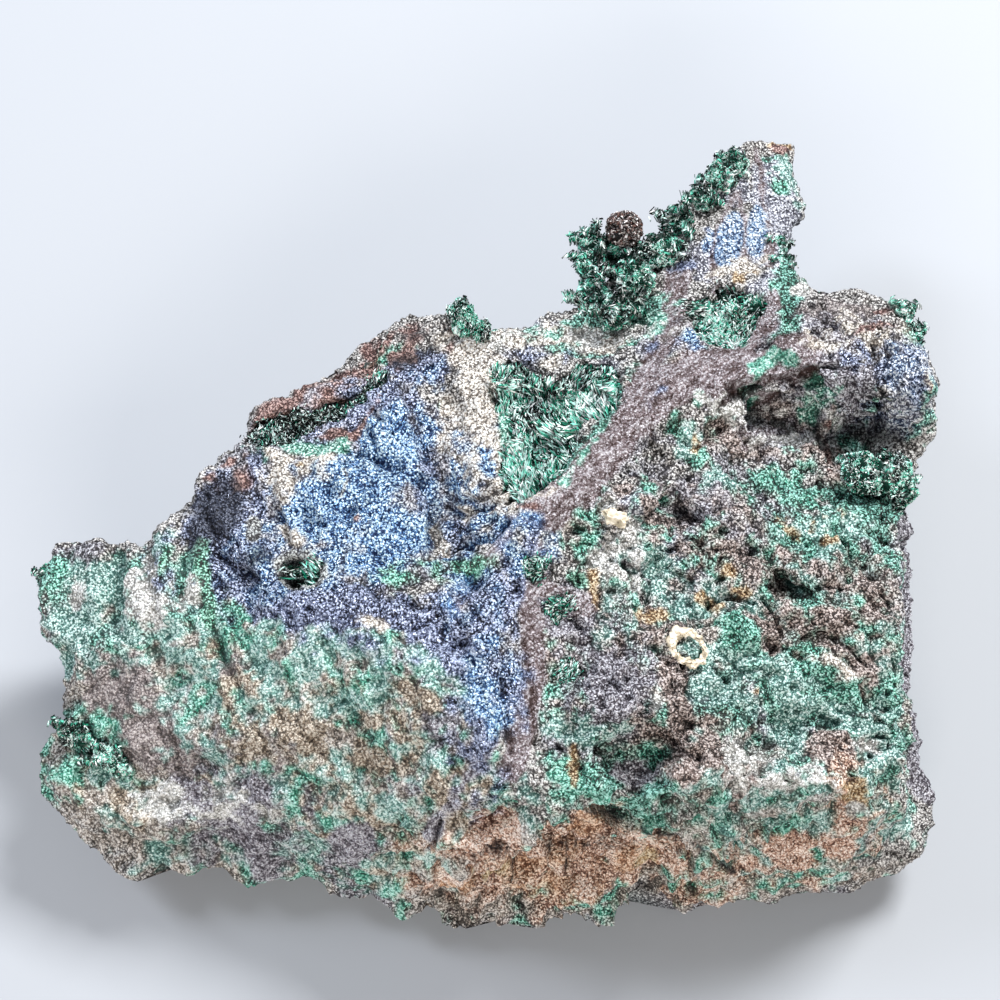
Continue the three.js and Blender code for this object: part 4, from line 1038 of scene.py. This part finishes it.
def hollowness(mesh, points, normals):
    """How deep each point lies below its surroundings, in millimetres."""
    edges = read(mesh.edges, "vertices", 2, np.int32)
    first, second = edges.T
    count = np.bincount(edges.ravel(), minlength=len(points))[:, None]
    around = points
    for _ in range(5):
        total = np.zeros_like(points)
        np.add.at(total, first, around[second])
        np.add.at(total, second, around[first])
        around = total / count
    return ((around - points) * normals).sum(1)


def share_covered(points, patches, edge, soft, most=1.0):
    """How much of each point the patches cover. They thin out over their ragged edge."""
    return np.clip(0.5 + (depth_inside(points, patches) + edge) / (2 * soft), 0, most)


def paint(mesh):
    """Colours every point of the stone, layer over layer, with a dark, a middle and a
    light shade for the grains there."""
    points, normals = points_of(mesh), normals_of(mesh)
    ragged = 0.6 * lumps(points, 5, 3, 8) + 0.5 * lumps(points, 1.6, 2, 9)
    seen = ramp(normals[:, 2], -0.5, 0.0) * ramp(points[:, 2], 3, 8)
    shades = [np.tile(linear(code), (len(points), 1)) for code in BARE_ORE]
    dullness, metal = np.full(len(points), BARE_DULLNESS), np.full(len(points), BARE_METAL)
    for number, mineral in enumerate(MINERALS.values()):
        edge = mineral.ragged * ragged
        solid = share_covered(points, mineral.solid, edge, mineral.soft)
        mottled = share_covered(points, mineral.mottled, edge, MOTTLED_SOFT_MM, MOTTLED_COVER)
        amount = seen * np.maximum(solid, mottled) + (1 - seen) * mineral.unseen
        flecks = 0.7 * lumps(points, 3.6, 3, 20 + number) + 0.4 * lumps(points, 1.3, 2, 40 + number)
        cover = ramp(amount + mineral.broken * flecks, 0.36, 0.64) * ramp(amount, 0.0, 0.25)
        for shade, code in zip(shades, mineral.shades):
            shade += cover[:, None] * (linear(code) - shade)
        dullness += cover * (mineral.dullness - dullness)
        metal += cover * (mineral.metal - metal)
    # the dark film and painted shade lie on their own patches, and painted shade lies down in the deep
    # cracks
    film_and_shade = seen * ramp(depth_inside(points, DARK_FILM_AND_SHADE) + 0.8 * ragged, -0.5, 1.2)
    shaken = 0.4 * np.stack([lumps(points, 3, 2, seed) for seed in (1, 2, 3)], axis=1)
    deep = cracks(points + shaken, points @ FROM_THE_FRONT + shaken[:, :2], 0.75)
    film_and_shade = np.maximum(film_and_shade, 1.2 * ramp(deep, 0.85, 1.5))
    for name, shade in zip(("dark_shade", "middle_shade", "light_shade"), shades):
        shade += 0.75 * film_and_shade[:, None] * (linear(FILM_AND_SHADE_COLOUR) - shade)
        layer = mesh.color_attributes.new(name, "FLOAT_COLOR", "POINT")
        layer.data.foreach_set("color", shade.ravel().astype(np.float32))
    # painted shade: the tone is lowered where the stone lies below its surroundings
    hollow_shade = ramp(hollowness(mesh, points, normals), 0.02, 0.35)
    wall = near_wall(points, points)
    tone = (0.16 + 0.2 * wall) * lumps(points, 4.0, 3, 60) + 0.1 * lumps(points, 1.7, 2, 61)
    for name, values in {
        "tone": tone - 0.5 * hollow_shade + TONE_LIFT + 0.04 * wall,
        "dullness": dullness,
        "metal": metal,
        "fibrous": ramp(depth_inside(points, FIBROUS), -3, 3),
        "veined": seen * ramp(depth_inside(points, SMOOTH_VEIN) + 0.7 * ragged, -0.6, 0.6),
    }.items():
        attribute = mesh.attributes.new(name, "FLOAT", "POINT")
        attribute.data.foreach_set("value", np.asarray(values, np.float32))


# ---------------------------------------------------------------- crystals
def unit(vectors):
    return vectors / np.linalg.norm(vectors, axis=-1, keepdims=True)


def crystal_template(sides, flat, blunt):
    """One crystal, 1 wide and 1 long, standing on the origin, that narrows to a point or a
    blunt end: its corners, its triangles, and the side that each triangle is on."""
    bm = bmesh.new()
    bmesh.ops.create_circle(bm, segments=sides, radius=0.5, cap_ends=True)
    for rise, narrow in ((0.75, 1.0), (0.25, blunt)):
        top = [face for face in bm.faces if face.normal.z > 0.5 or len(bm.faces) == 1]
        grown = bmesh.ops.extrude_face_region(bm, geom=top)["geom"]
        rim = [item for item in grown if isinstance(item, bmesh.types.BMVert)]
        if rise < 0.5:
            bmesh.ops.delete(bm, geom=top, context="FACES_ONLY")
        bmesh.ops.translate(bm, verts=rim, vec=(0, 0, rise))
        bmesh.ops.scale(bm, verts=rim, vec=(narrow, narrow, 1))
        bmesh.ops.recalc_face_normals(bm, faces=bm.faces)
    bmesh.ops.remove_doubles(bm, verts=bm.verts, dist=1e-4)
    bmesh.ops.scale(bm, verts=bm.verts, vec=(1, flat, 1))
    bmesh.ops.triangulate(bm, faces=bm.faces)
    bm.normal_update()
    corners = np.array([v.co for v in bm.verts])
    # the operators leave faces in no fixed order, so they are sorted by their corners
    triangles, normals = [], []
    for face in sorted(bm.faces, key=lambda face: sorted(v.index for v in face.verts)):
        around = [v.index for v in face.verts]
        first = around.index(min(around))
        triangles.append(around[first:] + around[:first])
        normals.append(face.normal[:])
    turn = np.arctan2(*np.array(normals).T[[1, 0]]) / (2 * math.pi)
    side = np.round(turn * sides).astype(int) % sides
    bm.free()
    return corners, np.array(triangles), side


NEEDLE = crystal_template(sides=3, flat=0.6, blunt=0.0)
STUB = crystal_template(sides=4, flat=0.8, blunt=0.3)
PAINTED_GLINTS = 0.3  # the share of facets given a painted glint


def crystals_mesh(name, template, roots, directions, lengths, widths, tones, rng):
    """Copies of the template, one on each root, joined in one mesh with the map that the
    crystal materials read. Sizes are in millimetres."""
    corners, triangles, side_of = template
    count = len(roots)
    helper = np.where(np.abs(directions[:, 2:3]) < 0.9, [[0.0, 0.0, 1.0]], [[1.0, 0.0, 0.0]])
    side = unit(np.cross(directions, helper))
    other = np.cross(directions, side)
    spin = rng.random((count, 1)) * 2 * math.pi
    side, other = np.cos(spin) * side + np.sin(spin) * other, np.cos(spin) * other - np.sin(spin) * side
    axes = ((widths, side), (widths, other), (lengths, directions))
    placed = roots[:, None, :] + sum(
        corners[None, :, i:i + 1] * size[:, None, None] * axis[:, None, :]
        for i, (size, axis) in enumerate(axes)
    )
    faces = triangles[None] + np.arange(count)[:, None, None] * len(corners)
    mesh = bpy.data.meshes.new(name)
    mesh.from_pydata(boxed(placed.reshape(-1, 3)).tolist(), [], faces.reshape(-1, 3).tolist())
    # each side has its own tone, and a few get a painted glint
    shape = (count, side_of.max() + 1)
    tone = tones[:, None] + 0.16 * rng.normal(size=shape)
    tone = np.where(rng.random(shape) < PAINTED_GLINTS, 0.82 + 0.18 * rng.random(shape), tone)
    tone = np.clip(tone, 0.01, 0.99)[:, side_of]
    # the map keeps a little width, so that no facet's map is a line
    across = tone[:, :, None] + corners[triangles][None, :, :, 0] * 0.01
    upward = np.broadcast_to(np.clip(corners[triangles][None, :, :, 2], 0.01, 0.99), across.shape)
    store_map(mesh, across, upward)
    mesh.update()
    return mesh


def skin_samples(mesh, count, rng, least_up):
    """Random points on a mesh, with the direction that the skin faces there. least_up is
    how far up their faces look at least, from -1 for down to 1 for up."""
    mesh.calc_loop_triangles()
    triangles = np.array([t.vertices[:] for t in mesh.loop_triangles])
    a, b, c = (points_of(mesh)[triangles[:, i]] for i in range(3))
    normal = np.cross(b - a, c - a)
    area = np.linalg.norm(normal, axis=1) / 2
    normal = normal / np.maximum(2 * area[:, None], 1e-12)
    area = np.where(normal[:, 2] > least_up, area, 0)
    chosen = rng.choice(len(area), count, p=area / area.sum())
    u, v = rng.random((2, count, 1))
    flip = (u + v) > 1
    u, v = np.where(flip, 1 - u, u), np.where(flip, 1 - v, v)
    return a[chosen] + u * (b - a)[chosen] + v * (c - a)[chosen], normal[chosen]


def spaced(points, gap):
    """Which of the points to keep so that none is closer than the gap to another."""
    kept = []
    for number, point in enumerate(points):
        if not kept or np.min(((points[kept] - point) ** 2).sum(1)) > gap * gap:
            kept.append(number)
    return kept


def joined_mesh(name, meshes):
    bm = bmesh.new()
    for mesh in meshes:
        bm.from_mesh(mesh)
    return as_mesh(bm, name)


BED_HEIGHT = 0.7  # a bed is coloured like this height up its crystals


def bed_of(node_name, sunk, voxel_mm=0.3, tone=0.06, spread=0.12):
    """The rough crust under the crystals: the CAD solid, sunk by some millimetres, with the crystals'
    map. Its low default tone is painted shade between the crystals."""
    mesh = as_mesh(cad_copy(node_name), "bed")
    mesh = with_modifier(mesh, "REMESH", mode="VOXEL", voxel_size=voxel_mm * MM)
    mesh = smoothed(mesh, 2)
    points, normals = points_of(mesh), normals_of(mesh)
    relief = 0.22 * (pebbles(points, 0.9, 3) - 0.5) + 0.2 * lumps(points, 0.8, 3, 3) - sunk
    move_points(mesh, points + normals * relief[:, None])
    mesh = with_modifier(mesh, "DECIMATE", ratio=0.35)
    corners = read(mesh.loops, "vertex_index", 1, np.int32)[:, 0]
    tones = np.clip(tone + spread * (0.5 + 0.9 * lumps(points_of(mesh), 0.5, 2, 4)), 0.01, 0.99)
    store_map(mesh, tones[corners], np.full(len(corners), BED_HEIGHT))
    return mesh


def tones_at(points, pale_on, rng):
    """Tone of each crystal, 0 to 1: mostly deep, and pale on the given patches."""
    paleness = ramp(depth_inside(points, pale_on), -0.8, 1.0) if pale_on else 0
    return 0.6 * rng.random(len(points)) ** 1.4 + paleness * (0.22 + 0.4 * rng.random(len(points)))


# Needles in a hollow are cut back towards the shortest until their tips are this near it.
SHORTEST_MM, FARTHEST_TIP_MM = 0.6, 1.3


def fans(
    name, sprays, needles, length, width, seed, lying=100, astray=80,
    pale_on=(), painted_shade_on=(), bare=(), tone=0.0, turned=(),
):
    """A hollow lined with fans of needles that lean to about one direction, in degrees
    round from +X, and stray from it. tone makes them all paler or darker, there are few
    on the bare patches, and turned are patches where they lean by so many degrees more."""
    rng = np.random.default_rng(seed)
    bed = bed_of(name, 0.15)
    skin = as_mesh(cad_copy(name), "skin")
    starts, normals = skin_samples(skin, sprays, rng, 0.15)
    lean = lying + astray * rng.normal(size=sprays)
    for more, patch in turned:
        lean += more * ramp(patch(starts), -0.5, 0.8)
    lean = np.radians(lean)
    flat = np.stack([np.cos(lean), np.sin(lean), np.zeros(sprays)], axis=1)
    axes = unit(flat + normals * (0.35 + 0.5 * rng.random((sprays, 1))))
    owner = rng.integers(0, sprays, needles)
    directions = unit(axes[owner] + 0.24 * rng.normal(size=(needles, 3)))
    directions[:, 2] = np.abs(directions[:, 2])
    roots = starts[owner] + 0.5 * rng.normal(size=(needles, 3)) * [1, 1, 0.25] - 0.15 * normals[owner]
    reach = length * (0.4 + 0.8 * rng.random(needles))
    # no tip stands out of the hollow
    tree = kd_tree(starts)
    for number in range(needles):
        while reach[number] > SHORTEST_MM:
            tip = roots[number] + directions[number] * reach[number]
            if tree.find(tip)[2] < FARTHEST_TIP_MM:
                break
            reach[number] *= 0.8
    widths = width * (0.6 + 0.8 * rng.random(needles))
    tones = tones_at(roots, pale_on, rng) + (tone + 0.26 * rng.normal(size=sprays))[owner]
    # painted shade: needles on these patches are darker
    if painted_shade_on:
        tones -= 0.34 * ramp(depth_inside(roots, painted_shade_on), -0.5, 0.6)
    rows = (roots, directions, reach, widths, tones)
    if bare:
        kept = (depth_inside(roots, bare) < 0) | (rng.random(needles) < 0.12)
        rows = (row[kept] for row in rows)
    return joined_mesh(name, [bed, crystals_mesh("needles", NEEDLE, *rows, rng)])


def kd_tree(points):
    tree = KDTree(len(points))
    for number, point in enumerate(points):
        tree.insert(point, number)
    tree.balance()
    return tree


def druse(
    name, crystals, clump, length, width, seed, pale_on=(), least_up=-0.6, proud=0.0, shape=NEEDLE,
):
    """A crust of short thick crystals whose tips reach the CAD skin, or stand proud of it.
    They stand in round clumps, each of which spreads from its own middle and has its own
    shade."""
    rng = np.random.default_rng(seed)
    bed = bed_of(name, 0.35 * length)
    skin = as_mesh(cad_copy(name), "skin")
    middles, _ = skin_samples(skin, 3000, rng, least_up)
    middles = middles[spaced(middles, clump)]
    points, normals = skin_samples(skin, crystals, rng, least_up)
    tree = kd_tree(middles)
    owner = np.array([tree.find(point)[1] for point in points])
    outward = (points - middles[owner]) / clump
    far_out = (outward ** 2).sum(1)
    directions = unit(normals + 0.8 * outward + 0.35 * rng.normal(size=points.shape))
    sunk = 0.3 * length * np.clip(far_out * 2, 0, 1)
    reach = length * (0.7 + 0.6 * rng.random(crystals))
    roots = points - directions * reach[:, None] + normals * (proud - sunk)[:, None]
    widths = width * (0.6 + 0.8 * rng.random(crystals))
    tones = tones_at(points, pale_on, rng) + 0.22 * rng.normal(size=len(middles))[owner]
    # painted shade in the gaps between clumps: crystals far from their clump's middle are darker
    tones -= 0.35 * np.clip(far_out - 0.15, 0, 1)
    stubs = crystals_mesh("stubs", shape, roots, directions, reach, widths, tones, rng)
    return joined_mesh(name, [bed, stubs])


# Pockets lined with fans of needles. Sizes are in millimetres, and lying, astray and turned
# in degrees.
POCKETS = {
    "heart_pocket": dict(
        sprays=300, needles=14000, length=1.4, width=0.19, seed=1, lying=88, astray=42, tone=-0.08,
        pale_on=spots(
            (4.2, -0.8, 1.6, 3), (13, 6.8, 2.6, 1.5, 25), (10.2, 3, 1.4, 2.6, -40),
            (9, -4.6, 2.4, 1.4),
        ) + [
            band(
                0.9, (3.2, 12), (3, 8.1), (3.3, 1.7), (3.9, -3.6), (5.6, -7.4), (9, -6.4),
                (12.5, 0.1), (16.4, 5.6), (16.2, 10),
            ),
        ],
        painted_shade_on=spots(
            (13, 10.7, 2.6, 1.5), (8.6, 10.2, 2, 2.4), (5.4, 11.8, 2, 2), (8.8, -3, 1.2, 1.6),
            (6.4, 4, 1.4, 2.4), (10.4, 13, 4, 1.4),
        ),
        bare=spots(
            (10, 12.8, 1.1, 0.8), (6.6, 11.4, 0.6, 0.9), (12.2, 8.6, 0.8, 0.4, 30),
            (15, 12.4, 0.6, 0.9), (3.9, 13.2, 0.4, 0.7), (13, 10.8, 0.9, 0.6),
            (8.7, 10.3, 0.4, 1.4), (9.6, 6.6, 0.7, 0.4), (5.2, 13.4, 0.9, 0.6),
        ) + [band(0.5, (6.7, 9.6), (7.3, 8.6), (8.2, 8.6))],
        turned=[(46, spot(10, 1.5, 3.4, 5.5)), (-50, spot(14, 9.5, 2.6, 3)), (-25, spot(12, 12, 3, 2))],
    ),
    "upper_pocket": dict(
        sprays=150, needles=6400, length=0.9, width=0.17, seed=2, lying=60, astray=90,
        pale_on=spots((29.3, 15, 2.8, 1.4), (28.4, 18.6, 1.8, 2.6)) + [
            band(0.6, (29.8, 23.4), (31.6, 22.6), (33.6, 20.8)),
        ],
        painted_shade_on=spots((32.2, 17.8, 1.8, 1.6), (27.9, 22, 1.6, 1.4), (31, 16, 1.4, 0.8)),
        bare=[band(1.25, (28.9, 22), (30.2, 21.2), (32, 20.1), (33.3, 18.8), (34.1, 17.6))],
    ),
    "shoulder_seam": dict(
        sprays=220, needles=6200, length=0.7, width=0.16, seed=3, lying=60, astray=90, tone=-0.34,
        pale_on=spots((-20.6, 3.6, 3.2, 0.8, -8)),
        painted_shade_on=spots((-21, 6.8, 5, 1.6)),
        bare=spots((-17.3, 4.5, 2.0, 0.55, -5), (-17.6, 9.3, 1.6, 1.2, 20)),
    ),
    "left_vug": dict(
        sprays=14, needles=340, length=1.5, width=0.17, seed=4, lying=-35, astray=14, tone=-0.12,
        pale_on=spots((-19.8, -14.6, 1.0)),
        bare=spots((-22, -12.8, 1.2, 0.8)),
    ),
    "upper_vug": dict(sprays=20, needles=500, length=0.8, width=0.15, seed=5),
    "middle_vug": dict(sprays=24, needles=600, length=0.8, width=0.15, seed=6),
    "lower_vug": dict(sprays=20, needles=500, length=0.8, width=0.15, seed=7),
}

# Crusts of short crystals.
CRUSTS = {
    "crest_spray": dict(
        crystals=15000, clump=1.5, length=0.95, width=0.21, seed=8,
        pale_on=spots((12, 29, 1.2, 3), (16, 24, 2, 1.4), (22, 27, 2, 2)),
    ),
    "peak_druse": dict(
        crystals=8400, clump=1.4, length=0.8, width=0.2, seed=9,
        pale_on=spots((32.6, 43, 2.4), (30.6, 39.6, 1.2, 3, -30)),
    ),
    "peak_edge": dict(
        crystals=3800, clump=1.1, length=0.7, width=0.2, seed=10,
        pale_on=spots((37.2, 26.6, 2), (38, 30, 1, 2)),
    ),
    "left_knob": dict(
        crystals=6000, clump=1.1, length=0.8, width=0.22, seed=11, proud=0.5,
        pale_on=spots((-3, 20, 1.2, 1.0)),
    ),
    "edge_druse": dict(
        crystals=9000, clump=1.0, length=0.6, width=0.22, seed=12,
        pale_on=spots((51.4, -1, 0.7, 4)),
    ),
    "corner_tuft": dict(
        crystals=4000, clump=1.1, length=0.7, width=0.2, seed=13, pale_on=spots((50.6, 20, 1.6)),
    ),
    "left_tip": dict(
        crystals=2000, clump=1.0, length=0.6, width=0.2, seed=14, pale_on=spots((-51.4, -10, 1.4)),
    ),
    "lower_left_seam": dict(
        crystals=6600, clump=1.1, length=0.7, width=0.2, seed=15,
        pale_on=[band(1.2, (-46, -32), (-42, -34.4), (-39, -36.4))],
    ),
}

# How much larger or smaller some of them are made, and where they are moved.
FITTED = {
    "left_knob": ((0.68, 0.9, 1.0), (-0.6, -2.6, 0.6)),
    "left_vug": ((1.3, 1.1, 1.0), (0.3, 0.8, 0)),
    "peak_druse": (0.95, (0.8, -0.8, 0)),
    "peak_edge": (0.92, (-1.1, 0, 0)),
    "corner_tuft": (0.9, (-0.6, -1.2, 0)),
    "crest_spray": (0.95, (0.7, 0, 0)),
    "left_tip": (0.9, (0.5, 0, 0)),
    "lower_left_seam": (0.95, (0.9, -0.3, 0)),
}

# Where the edge of the heart pocket is drawn out over its lip.
HEART_EDGE = [
    ((3.6, 5.2, 27.5), 3, (-1.0, 0, 0.3)), ((11, 0, 29), 4.5, (1.4, -1.0, 0.5)),
    ((14.6, 5.4, 28), 4, (1.0, -0.7, 0.4)),
]


def brochantite():
    """All the green crystals, each crust on its own CAD solid."""
    emerald = crystal_material("brochantite_emerald", [
        (0.0, "#000403"), (0.16, "#042e23"), (0.36, "#168064"), (0.56, "#60ceb2"),
        (0.76, "#b2f2e6"), (1.0, "#ffffff"),
    ], rough=0.22, ior=1.6)
    for make, table in ((fans, POCKETS), (druse, CRUSTS)):
        for place, settings in table.items():
            name = "brochantite_" + place
            mesh = make(name, **settings)
            scale, shift = FITTED.get(place, (1.0, (0, 0, 0)))
            points = scaled(points_of(mesh), scale) + shift
            move_points(mesh, pulled(points, HEART_EDGE) if place == "heart_pocket" else points)
            finish_piece(name + "_needles", mesh, emerald, name)


def side_minerals():
    """The dark ball, the white grain and the cream ring."""
    brown = crystal_material("goethite_ball_crust", [
        (0.0, "#060303"), (0.35, "#1a0c0a"), (0.65, "#3a1d18"), (0.88, "#74544c"), (1.0, "#ffffff"),
    ], rough=0.3, ior=1.8)
    cream = crystal_material("calcite_cream", [
        (0.0, "#544c40"), (0.3, "#aea38e"), (0.55, "#d6cab4"), (1.0, "#fffaf0"),
    ], rough=0.5, ior=1.6)
    ball = druse(
        "goethite_ball", crystals=2000, clump=0.8, length=0.7, width=0.36, seed=16,
        least_up=-1.1, proud=0.35, shape=STUB,
    )
    finish_piece("goethite_ball_crust", ball, brown, "goethite_ball")
    for name, voxel_mm, sunk in (("calcite_grain", 0.15, 0.1), ("calcite_ring", 0.12, 0.16)):
        mesh = bed_of(name, sunk, voxel_mm, tone=0.2, spread=0.75)
        points = points_of(mesh)
        ragged = 0.3 * np.stack([lumps(points, 1.1, 3, seed) for seed in (71, 72, 73)], axis=1)
        thick = np.full(len(points), -0.06)
        if name == "calcite_ring":
            # an oval, thickest on its upper left side
            points = scaled(points, [0.92, 0.86, 1])
            thick += 0.42 * ramp(points[:, 1] - points[:, 0] + 47.9, -1, 3) - 0.1
        move_points(mesh, points + ragged * [1, 1, 0.3] + normals_of(mesh) * thick[:, None])
        finish_piece(name + "_rough", mesh, cream, name)


# ---------------------------------------------------------------- studio
def floor():
    """A plain pale table top."""
    bm = bmesh.new()
    bmesh.ops.create_grid(bm, x_segments=1, y_segments=1, size=3.0)
    table = bpy.data.objects.new("floor", as_mesh(bm, "floor"))
    bpy.context.scene.collection.objects.link(table)
    material, tree, shader = new_material("pale_card")
    feed(tree, shader, {"Base Color": linear("#a6aab0"), "Roughness": 0.8})
    table.data.materials.append(material)


def softbox(name, place, aim, size, power, tint="#ffffff"):
    lamp = bpy.data.lights.new(name, "AREA")
    lamp.shape = "RECTANGLE"
    lamp.size, lamp.size_y = size[0] * MM, size[1] * MM
    lamp.energy = power
    lamp.color = linear(tint)[:3]
    light = bpy.data.objects.new(name, lamp)
    light.location = Vector(place) * MM
    light.rotation_euler = (Vector(aim) - Vector(place)).to_track_quat("-Z", "Y").to_euler()
    bpy.context.scene.collection.objects.link(light)


def studio():
    """Soft light from the far right, a weaker one from the left, and fill from the front."""
    target = (0, -5, 20)
    softbox("key", (330, 420, 520), target, (260, 200), 9.0)
    softbox("left", (-460, 200, 420), target, (160, 260), 2.6, "#f2f6ff")
    softbox("front", (60, -560, 300), target, (420, 160), 3.2, "#fff7ee")
    world = bpy.data.worlds.new("studio")
    world.use_nodes = True
    sky = world.node_tree.nodes["Background"]
    feed(world.node_tree, sky, {"Color": linear("#dfe4ea"), "Strength": 0.37})
    bpy.context.scene.world = world


def camera():
    """Looks down at 65 degrees from in front, through a short telephoto lens."""
    elevation, distance = math.radians(65), 226.5
    target = Vector((2.15, -5.6, 27.2))
    back = Vector((0, -math.cos(elevation), math.sin(elevation)))
    lens = bpy.data.cameras.new("camera")
    lens.lens = 70.2
    lens.clip_start, lens.clip_end = 0.01, 20
    eye = bpy.data.objects.new("camera", lens)
    eye.location = (target + back * distance) * MM
    eye.rotation_euler = (-back).to_track_quat("-Z", "Y").to_euler()
    bpy.context.scene.collection.objects.link(eye)
    bpy.context.scene.camera = eye


camera()
rock()
brochantite()
side_minerals()
floor()
studio()
bpy.context.scene.view_settings.view_transform = "Standard"

bpy.context.view_layer.update()
